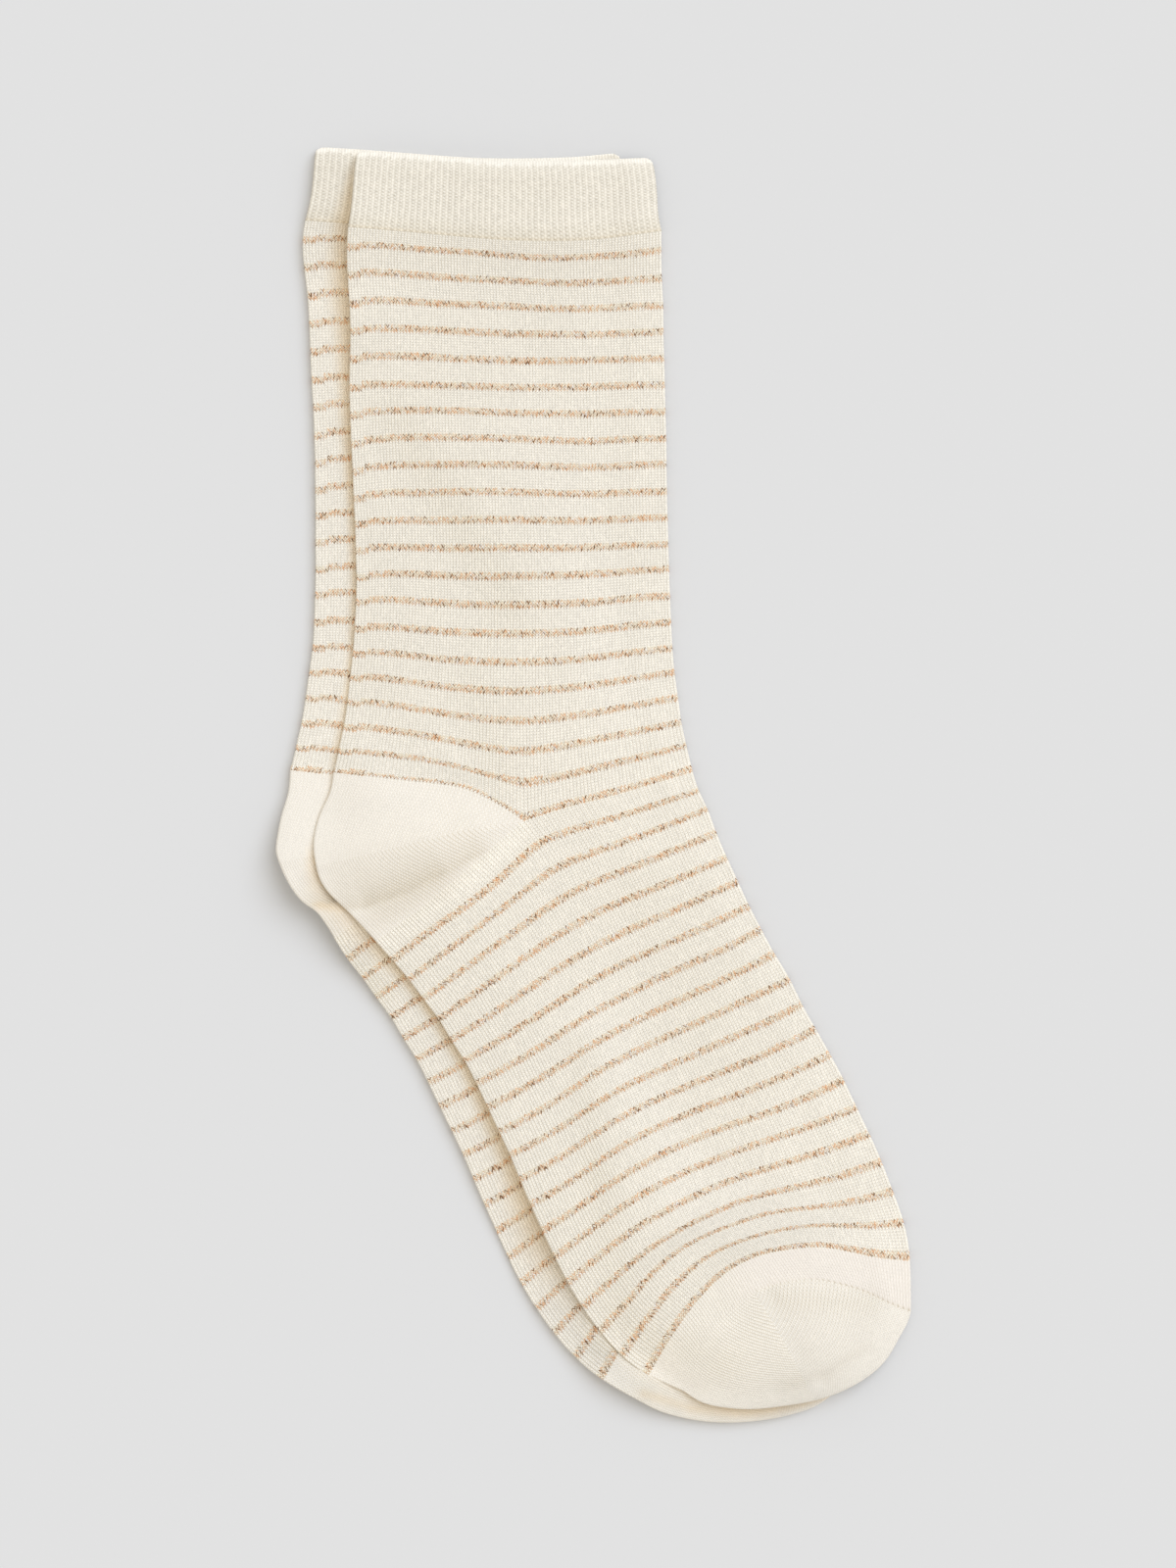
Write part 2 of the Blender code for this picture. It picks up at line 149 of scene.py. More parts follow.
LEG_ROWS = [
    CUFF_ROWS[-1],
    (1, -71.3, 156, 19.8, 155, 0.2, 1, 1.5, 2.6, 3, 2.6, 1.7, 0),
    (2, -71.2, 148, 19.9, 146.8, -0.1, 0.5, 1.1, 1.6, 1.9, 1.9, 1, 0),
    (3, -70.7, 139.6, 20.3, 138.9, -0.5, 0.1, 0.4, 0.9, 1.3, 1.3, 0.6, 0),
    (4, -70.4, 131.7, 20.4, 131.3, -0.3, 0, 0.5, 1, 1.1, 1.2, 0.6, 0),
    (5, -70.5, 123.8, 20.6, 123.6, -0.3, 0, 0.5, 1, 1.1, 0.8, 0.4, 0),
    (6, -70.7, 115.5, 20.8, 115.9, -0.3, 0, 0.3, 0.8, 0.8, 0.7, 0.2, 0),
    (7, -70.5, 107.6, 21, 108, -0.6, -0.6, -0.3, 0.3, 0.4, 0.6, 0.2, 0),
    (8, -70.2, 99.1, 21.2, 100.3, -1, -1.1, -0.9, -0.3, 0.2, 0.6, 0.1, 0),
    (9, -69.8, 91.2, 21.3, 93, -1, -0.9, -0.8, -0.3, 0.2, 0.7, 0.4, 0),
    (10, -69.5, 83.3, 21.4, 84.9, -0.9, -0.8, -0.9, -0.4, 0, 0.4, 0.1, 0),
    (11, -69.1, 76, 21.6, 77.4, -0.3, -0.1, -0.1, 0.1, 0.4, 0.6, 0.2, 0),
    (12, -68.9, 68.4, 21.8, 69.6, -0.2, 0.2, 0.4, 0.5, 0.7, 0.6, 0.2, 0),
    (13, -68.7, 60.5, 22, 62.6, -0.3, 0.4, 1, 1.2, 1.3, 1.1, 0.6, 0),
    (14, -68.8, 53.4, 22.3, 54.6, 0.1, 1, 1.7, 2, 1.9, 1.5, 0.5, 0),
    (15, -69.2, 45.6, 22.6, 47, 0.2, 1.4, 2.2, 2.6, 2.5, 2, 0.8, 0),
    (16, -69.7, 38.5, 23, 39.5, 0.6, 2.1, 3.1, 3.6, 3.4, 2.5, 1.1, 0),
    (17, -70.5, 31.5, 23.6, 32.6, 1.1, 2.9, 4.3, 5, 4.6, 3.4, 1.7, 0),
    (18, -71.3, 24.4, 24.6, 25.2, 1.3, 3.3, 5.2, 6.3, 5.7, 4.1, 2, 0.1),
    (19, -72.3, 17.3, 25.6, 18.1, 1.5, 3.5, 5.9, 8, 7, 4.8, 2.4, 0.3),
    (20, -73.8, 10.2, 27, 11.4, 1.5, 3.4, 6.3, 10.2, 8.8, 6, 3.1, 0.7),
    (21, -75.1, 4.4, 28.6, 4.6, 1.7, 3.1, 5.3, 14, 10.9, 7.5, 3.9, 1),
    (21.15, -75.4, 3.4, 28.9, 3.4, 1.7, 3.1, 5.4, 14.2, 11, 7.6, 3.9, 1),
]

FOOT_ROWS = [
    (22, -58.3, -51, 30.6, -1.7, -2, -3.4, -5.5, -9.1, -7.9, -5, -2.4, 0.5),
    (23, -53.6, -56.5, 33.1, -7.1, -1.6, -3.2, -5, -6.9, -5.9, -3.7, -1.7, 0.3),
    (24, -49.4, -62.1, 35.7, -14, -1.4, -2.9, -4.4, -5.6, -4.8, -3.1, -1.5, 0.1),
    (25, -44.9, -68.1, 38.7, -21.1, -1.4, -2.7, -4, -4.6, -4.2, -2.7, -1.2, 0),
    (26, -41.3, -74, 41.9, -28.1, -0.7, -1.8, -3, -3.5, -3.2, -2, -0.9, 0),
    (27, -37.4, -80.1, 45.2, -35.2, -0.5, -1.3, -2.3, -2.9, -2.5, -1.6, -0.7, 0),
    (28, -34, -86.6, 48.7, -42, -0.1, -0.7, -1.9, -2.1, -1.9, -1.1, -0.2, 0),
    (29, -30.7, -93.5, 52.5, -49, 0, -0.7, -1.7, -1.8, -1.4, -0.8, -0.2, 0),
    (30, -27.4, -100.5, 57, -56.6, 0, -1, -2.3, -2.2, -1.8, -1.1, -0.6, 0),
    (31, -24.3, -107.2, 60.4, -63.6, 0, -1.1, -2.2, -1.9, -1.4, -0.8, -0.1, 0),
    (32, -21.4, -114.2, 64.5, -70.9, -0.3, -1.6, -2.8, -2.4, -1.8, -0.8, -0.2, 0),
    (33, -18.3, -121.5, 68.6, -78.2, -0.7, -2.4, -3.5, -3.2, -2.4, -1.1, -0.3, 0),
    (34, -14.9, -129.1, 72.6, -85.7, -1.4, -3.4, -4.4, -4.1, -3.3, -1.6, -0.4, 0),
    (35, -11.4, -136.6, 76.3, -93.5, -2.2, -4.3, -5.2, -4.9, -4.1, -2.5, -0.9, 0),
    (36, -7.6, -144.1, 80, -101.2, -3, -5.3, -6.2, -6, -5.1, -3.1, -1.2, 0),
    (37, -3.3, -151.4, 83.6, -109.4, -3.7, -6.7, -8, -8, -6.9, -4.1, -1.7, 0),
    (38, 1.7, -158.5, 86.9, -118, -4.8, -9.8, -12, -11.4, -10.1, -6.2, -2.6, 0),
    (39, 8.1, -165.6, 90, -126.9, -6.7, -12.3, -15.5, -15.3, -13.7, -9.9, -4.4, 0),
    (40, 15, -170.8, 91.8, -136.7, -7.6, -13.8, -17.9, -18.8, -17.1, -13.1, -6, 0),
]

# The first course of the foot, along the lower side of the heel pocket: share, x, y
HEEL_LOWER_SIDE = [
    (0, -63, -45.6), (0.18, -48.6, -34.9), (0.36, -34.4, -23), (APEX, -20.66, -10.85),
]

# The last course of the tube: left of the toe's point it runs on into the toe, right of it is the
# seam that links the toe shut. share, x, y
TUBE_LAST_LEFT = [
    (0, 26, -175.9), (0.15, 30.1, -165.6), (0.3, 37.2, -154.6), (TOE_APEX, 46.2, -146.8),
]
TUBE_LAST_RIGHT = [
    (TOE_APEX, 46.2, -146.8), (0.535, 54.6, -144.1), (0.65, 64.8, -143.4), (0.735, 72, -144.9),
    (0.825, 79.3, -147.3), (0.925, 86.4, -150.8), (1, 92.2, -153.1),
]

# Folds at the back of the heel and round the end of the toe
HEEL_FOLD = [
    (-75.4, 3.4), (-76.6, -2.8), (-79, -8), (-80.5, -12.8), (-81.1, -17.6), (-80.5, -22.7),
    (-79.4, -27), (-76.8, -31.3), (-72.6, -35.5), (-68.3, -39.8), (-63, -45.6),
]
TOE_FOLD = [
    (26, -175.9), (31.4, -179.2), (38.2, -180.7), (45, -181.1), (55.3, -180.1), (62.1, -179),
    (68.9, -177.1), (75.7, -174.1), (82.8, -169.3), (86.1, -165.4), (89, -160.3), (91.4, -155.8),
    (92.2, -153.1),
]

# The lower sock's courses, as shifts of the upper one's: course, left dx dy, right dx dy
LOWER_SHIFTS = [
    (-2.5, -12, 1.5, -9.1, 1.1), (-1.8, -12, 1.7, -9.2, 1.4), (-1, -11.9, 2.1, -9.4, 1.7),
    (-0.4, -12.1, 2.3, -9.5, 1.9), (0.3, -12.7, 2.5, -9.6, 2.3), (1.5, -13.1, 2.7, -9.8, 2.4),
    (2.5, -12.6, 2.8, -10, 2.5), (3.5, -12.3, 2.7, -10.1, 2.4), (4.5, -12, 2.5, -10.3, 2.4),
    (6, -11.2, 2.5, -10.4, 2.4), (8, -10.9, 2.6, -10.5, 2.4), (10, -11.3, 2.6, -10.6, 2.4),
    (12, -11.8, 2.5, -10.7, 2.3), (14, -12, 2.2, -10.9, 2), (16, -11.8, 1.8, -11, 1.6),
    (18, -12.2, 1.3, -11, 1.2), (21.15, -12.7, 0.7, -11, 0.6), (22, -13, 0.3, -11.1, 0.5),
    (24, -13.8, 0.3, -11.4, 0.4), (26, -14, 0.3, -11.6, 0.3), (28, -14.1, 0.1, -11.8, 0.1),
    (30, -13.8, -0.2, -12, 0), (32, -13.5, -0.4, -12.2, -0.1), (34, -13.4, -0.6, -12.4, -0.2),
    (36, -13.5, -0.7, -12.3, -0.4), (38, -13.3, -0.7, -11.8, -0.6),
    (40.15, -13.3, -1.4, -10.8, -1.2), (41.3, -12.4, -3.1, -10.2, -2),
]
LOWER_HEEL_END = (0.6, 0.3)  # the same for the end of the heel's fold, on top of that

# The lower sock's own folds between the ends that it shares with its leg and foot
LOWER_HEEL_FOLD = [
    (-88.6, -2.3), (-89.8, -6.6), (-90.9, -10.7), (-91.6, -14.9), (-92, -19.1), (-90.9, -23.1),
    (-89.1, -27.1), (-87.2, -30.4), (-84.9, -33.4), (-82.8, -35.2), (-80.3, -36.9), (-78.4, -39.3),
    (-76.4, -42.3),
]
LOWER_TOE_FOLD = [
    (19, -181.8), (23.1, -183.2), (27.1, -184.2), (31.2, -184.9), (35.4, -185.3), (39.8, -185.4),
    (43.9, -185.2), (48.1, -184.8), (52.2, -184.2), (56.4, -183.3), (60.4, -182.2), (64.5, -180.6),
    (68, -178.3), (71.4, -175.4), (74, -172), (76.3, -168.3), (78.3, -164.6), (80.1, -160.8),
]

# Broad swellings of the flattened tube: x, y, reach, height
BULGES = [
    (-58, -14, 22, 1.3), (58, -152, 26, 1.1), (-20, 40, 45, -0.2), (16, -70, 40, -0.2),
]

# Where each sock in turn lies thicker or is pressed thinner than that: x, y, reach, height
UPPER_SWELLS = [
    (-68.5, 184, 8, -0.7), (-70.5, 163, 9, 0.8), (-71.5, 143, 18, 2.2), (-69, 66, 14, -0.5),
    (-70, 30, 20, -1.2), (-78, 0, 12, -0.9), (-80, -14, 9, -0.8), (-79, -26, 8, -0.4),
    (-74, -34, 8, -0.8), (-58, -51, 9, -0.5), (-28, -105, 18, 1.5), (-12, -128, 18, 1.8),
    (4, -160, 9, -1.4), (18, -172, 10, -1.8),
]
LOWER_SWELLS = [
    (-88, -9, 9, 0.6), (-30, -138, 16, -1.2), (4, -175, 10, 0.8),
]

# Where the upper sock is pressed into the lower one: x, y, reach, depth
PRESSES = [
    (-73, 20, 14, 0.7), (-78.5, -6, 13, 1.6), (-79, -26, 9, 0.8), (-74, -34, 8, 0.7),
    (4, -160, 10, 1), (16, -170, 10, 1.5), (32, -180, 12, 1),
]

# Where the lower sock's edge stands up from the table: x, y, reach, height
LIFTS = [
    (-97, -38, 20, 9), (-83, -52, 12, 3.5), (6, -184, 14, 3.2),
]

# How wide the shade in the nook along the upper sock's left edge is, in mm, and how strong,
# at shares of that edge's length
NOOK = [
    (0, 1.5, 0.1), (0.012, 2.5, 0.4), (0.025, 4.4, 0.9), (0.045, 7.3, 0.95), (0.09, 8.2, 0.95),
    (0.15, 5.2, 0.95), (0.224, 3.3, 1), (0.32, 2.4, 0.9), (0.385, 2.6, 0.8), (0.41, 1, 0.3),
    (0.44, 0.8, 0), (0.458, 4, 0.8), (0.48, 8, 0.45), (0.51, 9, 0.6), (0.535, 5.5, 0.9),
    (0.56, 3.4, 1), (0.62, 4.2, 1), (0.69, 6.5, 1), (0.74, 12, 0.85), (0.775, 11, 0.2),
    (0.81, 8, 0.1), (0.835, 3, 0), (0.878, 3, 0.3), (0.91, 4.5, 1), (0.94, 3.5, 1), (0.965, 2, 0.8),
    (1, 1.5, 0.5),
]

# The same shade along lines of its own: x1, y1, x2, y2, strength, half width
NOOK_LINES = [
    (-79.5, -35, -72.5, -36.2, 0.8, 1.7), (14.5, -176.6, 27.9, -180.9, 0.5, 1.5),
    (27.9, -180.9, 37, -182.1, 0.65, 1.6), (37, -182.1, 46, -182, 0.5, 1.4),
]

# Where the lower sock lies in the upper one's shadow: x1, y1, x2, y2, strength, half width
DIM_LINES = [
    (14.5, -176.6, 27.9, -180.9, 0.4, 1.6), (27.9, -180.9, 37, -182.1, 0.3, 1.7),
    (-82.7, -27.5, -77.7, -35.2, 0.4, 3), (-74.5, -40.5, -66, -49.5, 0.6, 4),
    (-20.5, -130, -10, -152.5, 0.35, 5), (-10, -152.5, -1.5, -164.6, 0.7, 5.5),
    (-0.5, -163.8, 9.5, -173.2, 1, 5), (9.5, -173.2, 15.5, -176.7, 0.9, 4),
    (15.5, -176.7, 24, -180.6, 0.5, 3),
]

# Where the knit is drawn open, so that its wale lines stand deeper and painted shade darkens its
# gaps, or lies denser than elsewhere: x1, y1, x2, y2, amount, width. The second table is for the
# lower sock only
OPEN_KNIT = [
    (-60, -35, -46, -29, 0.4, 5), (-57, 105, -24, 51, 0.25, 7), (-18, 105, 8, 25, -0.14, 12),
    (-36, 28, -27, 3, 0.2, 6), (-66, 8, -58, 2, -0.15, 6), (14, -28, 44, -85, 0.15, 11),
    (-1, -68, 27, -113, -0.18, 8), (-4, -76, 1, -113, 0.2, 5), (1, -113, 8, -150, 0.25, 6),
    (32, -120, 78, -136, -0.35, 9), (54, -149, 80, -150, 0.3, 4), (13, -160, 36, -168, 0.3, 7),
]
OPEN_KNIT_LOWER = [
    (-78, -42, -62, -60, 0.55, 5), (4, -163, 14, -177, 0.4, 7), (14, -177, 36, -186, 0.25, 6),
]
OPEN_BASE = {"cuff": 0.0, "leg": 0.20, "heel": 0.06, "foot": 0.20, "toe": 0.06}
# Painted shade: a denser knit also gets less shade painted into its gaps
LOWER_CLOSER = 0.15  # how much denser the lower sock's knit lies

# The sharp crease below the heel: x1, y1, x2, y2, depth, reach above, reach below. The second table
# says in the same way how far the knit is drawn open there, which deepens its wale lines and
# darkens its gaps with painted shade
CREASES = [
    (-71, -36.1, -64.7, -35, 0.5, 5.5, 1.2), (-64.7, -35, -55.3, -31.7, 1.3, 6, 1.2),
    (-55.3, -31.7, -45, -26.7, 1.3, 6, 1.5), (-45, -26.7, -34, -20.8, 0.7, 6, 2.2),
]
OPEN_CREASES = [
    (-72.5, -36.3, -64.7, -35, 0.6, 6, 0.8), (-64.7, -35, -55.3, -31.7, 0.8, 7, 0.8),
    (-55.3, -31.7, -45, -26.7, 0.8, 8, 1), (-45, -26.7, -34, -20.8, 0.6, 8, 1.6),
]

# The shade above that crease, in the same way, and how much of the nook's tint it has
DIM_CREASES = [
    (-72.5, -36.3, -64.7, -35, 0.4, 4.5, 0.5), (-64.7, -35, -55.3, -31.7, 0.62, 5, 0.5),
    (-55.3, -31.7, -45, -26.7, 0.55, 5, 0.6), (-45, -26.7, -34, -20.8, 0.35, 5, 0.9),
]
CREASE_TINT = 0.3

# Other shade on the upper sock: x1, y1, x2, y2, strength, half width
UPPER_DIM_LINES = [
    (-66, -41, -40, -25, 0.35, 4.5), (18, -167.5, 30, -174.5, 0.38, 3.2),
    (56, -174.2, 66.3, -171.2, 0.16, 1.6), (66.3, -171.2, 78, -163.6, 0.22, 1.6),
]

# Soft folds in the layer that faces up: x1, y1, x2, y2, height (a trough is negative), width
SOFT_FOLDS = [
    (-76, -19, -50, -15, 0.9, 8), (53, -175.4, 66.3, -172.4, -0.5, 2.2),
    (66.3, -172.4, 79.1, -164.2, -0.55, 2.2), (39, -148.5, 47, -145.5, 0.3, 2.6),
    (51, -147.5, 56, -153, -0.25, 2.6), (50.6, -148.5, 59.4, -165, -0.25, 2.5),
    (-51, 108, -18, 54, 0.3, 8), (-61, 33, -38, 2, 0.25, 4.5), (-21, 30, -14, 6, 0.25, 6),
    (0, -74, 21, -140, 0.45, 11), (21, -140, 34, -160, 0.4, 8), (10, -20, 52, -52, 0.3, 12),
    (-50, 176, -5, 168, -0.2, 7), (4, 138, 15, 108, -0.18, 6),
]


def spline(knots, values, at):
    """Natural cubic spline through values given at the knots, for one or more columns of values."""
    knots = np.asarray(knots, float)
    values = np.asarray(values, float)
    flat = values.reshape(len(knots), -1)
    h = np.diff(knots)
    slope = np.diff(flat, axis=0) / h[:, None]
    inner = np.arange(1, len(knots) - 1)
    matrix = np.eye(len(knots))
    matrix[inner, inner - 1] = h[:-1]
    matrix[inner, inner] = 2 * (h[:-1] + h[1:])
    matrix[inner, inner + 1] = h[1:]
    right = np.zeros_like(flat)
    right[1:-1] = 6 * np.diff(slope, axis=0)
    bend = np.linalg.solve(matrix, right)
    at = np.atleast_1d(np.asarray(at, float))
    cell = np.clip(np.searchsorted(knots, at) - 1, 0, len(knots) - 2)
    a = (knots[cell + 1] - at)[:, None]
    b = (at - knots[cell])[:, None]
    width = h[cell][:, None]
    result = (bend[cell] * a**3 + bend[cell + 1] * b**3) / (6 * width)
    result += (flat[cell] / width - bend[cell] * width / 6) * a
    result += (flat[cell + 1] / width - bend[cell + 1] * width / 6) * b
    return result.reshape((len(at),) + values.shape[1:])


def smooth(x):
    """Eases from 0 to 1 as x goes from 0 to 1."""
    x = np.clip(x, 0, 1)
    return x * x * (3 - 2 * x)


def split(start, end, count):
    return np.linspace(start, end, count + 1)


def course_line(row, share):
    """Plan points of one course at shares of the way across."""
    left = np.array(row[1:3])
    chord = np.array(row[3:5]) - left
    down = np.array([chord[1], -chord[0]]) / np.hypot(*chord)
    dips = (0,) + tuple(row[5:12]) + (0,)
    curve = spline(NODES, dips, share)
    before = spline(NODES[:5], dips[:5], share)
    after = spline(NODES[4:], dips[4:], share)
    dip = curve + row[12] * (np.where(share < APEX, before, after) - curve)
    return left + share[:, None] * chord + dip[:, None] * down


def through(points, share):
    """A curve through (share, x, y) points."""
    table = np.array(points)
    return spline(table[:, 0], table[:, 1:], share)


def run_along(line):
    """The length of a line up to each of its points."""
    return np.concatenate([[0], np.cumsum(np.hypot(*np.diff(line, axis=0).T))])


def along(points, share):
    """A curve through (x, y) points, by its length from 0 to 1."""
    run = run_along(np.array(points))
    return spline(run / run[-1], points, share)


def placed(points, course, share, lower):
    """Plan points of the upper sock, or where the lower one has them in its own knitting."""
    if not lower:
        return points
    table = np.array(LOWER_SHIFTS)
    ends = spline(table[:, 0], table[:, 1:], course)[0]
    return points + (ends[:2] + share[:, None] * (ends[2:] - ends[:2]))


def leg_last(share, lower):
    return placed(course_line(LEG_ROWS[-1], share), LEG_END, share, lower)


def foot_first(share, lower):
    """Along the heel pocket up to its point, then along the last course of the leg."""
    near = placed(through(HEEL_LOWER_SIDE, share), LEG_END, share, lower)
    if lower:
        ease = np.maximum(1 - share / HEEL_END_REACH, 0) ** 2
        near = near + ease[:, None] * np.array(LOWER_HEEL_END)
    return np.where((share < APEX)[:, None], near, leg_last(share, lower))


def tube_last(share, lower):
    near = through(TUBE_LAST_LEFT, share)
    far = through(TUBE_LAST_RIGHT, share)
    line = np.where((share < TOE_APEX)[:, None], near, far)
    return placed(line, TUBE_END, share, lower)


def zone_plan(zone, courses, share, lower):
    """Plan points of a zone of the tube: a grid of courses by shares across."""
    rows = {"cuff": CUFF_ROWS, "leg": LEG_ROWS, "foot": FOOT_ROWS}[zone]
    knots = [row[0] for row in rows]
    known = [placed(course_line(row, share), row[0], share, lower) for row in rows]
    if zone == "foot":
        knots = [LEG_END] + knots + [TUBE_END]
        known = [foot_first(share, lower)] + known + [tube_last(share, lower)]
    return spline(knots, np.array(known), courses)


def heel_fold(share, lower):
    if not lower:
        return along(HEEL_FOLD, share)
    start = np.array([0.0])
    ends = (leg_last(start, True), foot_first(start, True))
    return along(np.vstack([ends[0], LOWER_HEEL_FOLD, ends[1]]), share)


def toe_fold(share, lower):
    if not lower:
        return along(TOE_FOLD, share)
    ends = tube_last(np.array([0.0, 1.0]), True)
    return along(np.vstack([ends[:1], LOWER_TOE_FOLD, ends[1:]]), share)


def sock_edge(share, lower, cuff_steps, steps, fold_steps=0, toe_end=1):
    """A sock's right edge, at share 1, or its left one, which goes round the heel and the toe."""
    spans = [
        ("cuff", CUFF_TOP, LEG_START, cuff_steps),
        ("leg", LEG_START, LEG_END, steps),
        ("foot", LEG_END, TUBE_END, steps),
    ]
    fold = np.array([share])
    cuff, leg, foot = [
        zone_plan(zone, np.linspace(start, end, count), fold, lower)[:, 0]
        for zone, start, end, count in spans
    ]
    if share == 1:
        return np.vstack([cuff, leg[1:], foot[1:]])
    heel = heel_fold(np.linspace(0, 1, fold_steps), lower)
    toe = toe_fold(np.linspace(0, toe_end, fold_steps), lower)
    return np.vstack([cuff, leg[1:], heel[1:], foot[1:], toe[1:]])


def outline(lower):
    """Closed plan outline of one sock."""
    right = sock_edge(1, lower, 12, 60)
    return np.vstack([sock_edge(0, lower, 12, 60, 60), right[::-1][1:]])


LOWER_OUTLINE = outline(True)
UPPER_OUTLINE = outline(False)
LEFT_EDGE = sock_edge(0, False, 20, 160, 80, 0.7)  # of the upper sock
LOWER_RIGHT_EDGE = sock_edge(1, True, 12, 120)


def in_parts(points, measure, size=4000):
    """Measures many plan points, some thousand at a time."""
    return np.concatenate([measure(points[i : i + size]) for i in range(0, len(points), size)])


def depth_inside(points, polygon):
    """Distance of plan points from a closed outline, positive inside it."""
    edge = np.roll(polygon, -1, axis=0) - polygon
    length2 = np.maximum((edge**2).sum(axis=1), TINY)
    rise = np.where(np.abs(edge[:, 1]) < TINY, TINY, edge[:, 1])

    def depth(part):
        away = part[:, None, :] - polygon
        share = np.clip((away * edge).sum(axis=2) / length2, 0, 1)
        gap = away - share[:, :, None] * edge
        nearest = np.sqrt((gap**2).sum(axis=2).min(axis=1))
        above = polygon[:, 1] > part[:, None, 1]
        crosses = above != np.roll(above, -1, axis=1)
        x_at = polygon[:, 0] + (part[:, None, 1] - polygon[:, 1]) * edge[:, 0] / rise
        odd = (crosses & (part[:, None, 0] < x_at)).sum(axis=1) % 2 == 1
        return np.where(odd, nearest, -nearest)

    return in_parts(points, depth)


def to_line(points, line):
    """Which point of a line lies nearest to each plan point, and how far off it is."""

    def measure(part):
        gap = np.hypot(part[:, None, 0] - line[:, 0], part[:, None, 1] - line[:, 1])
        return np.column_stack([gap.argmin(axis=1), gap.min(axis=1)])

    index, gap = in_parts(points, measure).T
    return index.astype(int), gap


def as_upper(points, lower):
    """The same places of the knitting at the upper sock."""
    return points - LOWER_OFFSET if lower else points


def hills(points, table):
    """Sum of round hills over plan points."""
    total = np.zeros(len(points))
    for x, y, reach, rise in table:
        span2 = (points[:, 0] - x) ** 2 + (points[:, 1] - y) ** 2
        total = total + rise * np.exp(-span2 / reach**2)
    return total


def ridges(points, table):
    """Sum of long soft ridges over plan points."""
    total = np.zeros(len(points))
    for x1, y1, x2, y2, rise, width in table:
        start = np.array([x1, y1])
        run = np.array([x2, y2]) - start
        at = np.clip(((points - start) @ run) / (run @ run), 0, 1)
        nearest = start + at[:, None] * run
        gap2 = ((points - nearest) ** 2).sum(axis=1)
        total = total + rise * np.exp(-gap2 / width**2)
    return total


def bands(points, table):
    """The strongest of several soft bands over plan points."""
    return np.max([ridges(points, [row]) for row in table], axis=0)


def creases(points, table):
    """The deepest of several sharp-edged dips over plan points."""
    total = np.zeros(len(points))
    for x1, y1, x2, y2, depth, left, right in table:
        start = np.array([x1, y1])
        run = np.array([x2, y2]) - start
        length = np.hypot(*run)
        share = (points - start) @ run / length**2
        beside = ((points - start) @ np.array([-run[1], run[0]])) / length
        past = np.maximum(np.maximum(-share, share - 1), 0) * length
        reach = np.where(beside > 0, left, right)
        dip = depth * np.exp(-np.abs(beside) / reach - (past / CREASE_END) ** 2)
        total = np.maximum(total, dip)
    return total


def thickness(points, lower, welt=True):
    """Height of the flattened tube over plan points: both layers and what is between them."""
    place = as_upper(points, lower)
    near_cuff = smooth((place[:, 1] - SEAM_Y + CUFF_BLEND) / CUFF_BLEND)
    height = FLAT + ((CUFF_FLAT if welt else LEG_AT_CUFF) - FLAT) * near_cuff
    if welt:
        row = CUFF_ROWS[0]
        share = np.clip((points[:, 0] - row[1]) / (row[3] - row[1]), 0, 1)
        top = placed(course_line(row, share), row[0], share, lower)[:, 1]
        height = height - CUFF_ROLL * np.exp(-(((top - points[:, 1]) / CUFF_ROLL_REACH) ** 2))
    return height + hills(place, BULGES) + hills(points, LOWER_SWELLS if lower else UPPER_SWELLS)


def weight(points):
    """How far the upper sock presses down what it lies on."""
    beside = smooth(1 - to_line(points, LOWER_RIGHT_EDGE)[1] / RIGHT_REACH)
    return hills(points, PRESSES) + RIGHT_PRESS * beside


def pressed(points):
    """How far the lower sock's top layer is pressed down by the upper sock over plan points."""
    inside = depth_inside(points, UPPER_OUTLINE)
    return weight(points) * smooth((inside + PRESS_START) / PRESS_REACH)


def underside(points, lower):
    """Height of a sock's lowest layer over plan points."""
    if lower:
        return hills(points, LIFTS)
    carried = thickness(points, True) - weight(points) + hills(points, LIFTS) + STACK_GAP
    ease = smooth(1 + depth_inside(points, LOWER_OUTLINE) / SAG_REACH)
    return SAG_LIFT + (carried - SAG_LIFT) * ease


def nook(points):
    """From 0 to 1, how strong the painted warm shade is at plan points of the lower sock, in the
    nook beside the upper one.
    """
    run = run_along(LEFT_EDGE)
    index, gap = to_line(points, LEFT_EDGE)
    share = run[index] / run[-1]
    at, reach, strength = np.array(NOOK).T
    shade = np.interp(share, at, strength) * smooth(1 - gap / np.interp(share, at, reach))
    shade = shade * (1 - RIM_LIGHT * smooth(1 - gap / RIM_LIGHT_REACH))
    return np.maximum(shade, bands(points, NOOK_LINES))


def soft_folds(points, lower):
    """Height of the soft folds over plan points."""
    place = as_upper(points, lower)
    return ridges(place, SOFT_FOLDS) - creases(place, CREASES)


def open_knit(points, lower, base):
    """How far the knit is drawn open over plan points, which deepens its wale lines and paints
    shade into its gaps.
    """
    place = as_upper(points, lower)
    amount = base + ridges(place, OPEN_KNIT) + creases(place, OPEN_CREASES)
    if lower:
        amount = amount + ridges(points, OPEN_KNIT_LOWER) - LOWER_CLOSER
    return np.maximum(amount, 0)


def lifted(plan, level, lower, welt=False):
    """Plan points at their height, level 1 on the top layer and -1 on the bottom one."""
    shape = plan.shape[:2]
    flat = plan.reshape(-1, 2)
    level = np.broadcast_to(level, shape).reshape(-1)
    height = thickness(flat, lower, welt)
    if lower:
        height = height - pressed(flat)
    z = underside(flat, lower) + 0.5 * height * (1 + level)
    z = z + soft_folds(flat, lower) * smooth(level)
    return np.column_stack([flat, z]).reshape(shape + (3,)), height.reshape(shape)


def put(name, data):
    """Adds an object to the scene."""
    made = bpy.data.objects.new(name, data)
    bpy.context.scene.collection.objects.link(made)
    return made


def unit(vectors):
    return vectors / np.maximum(np.linalg.norm(vectors, axis=1), TINY)[:, None]


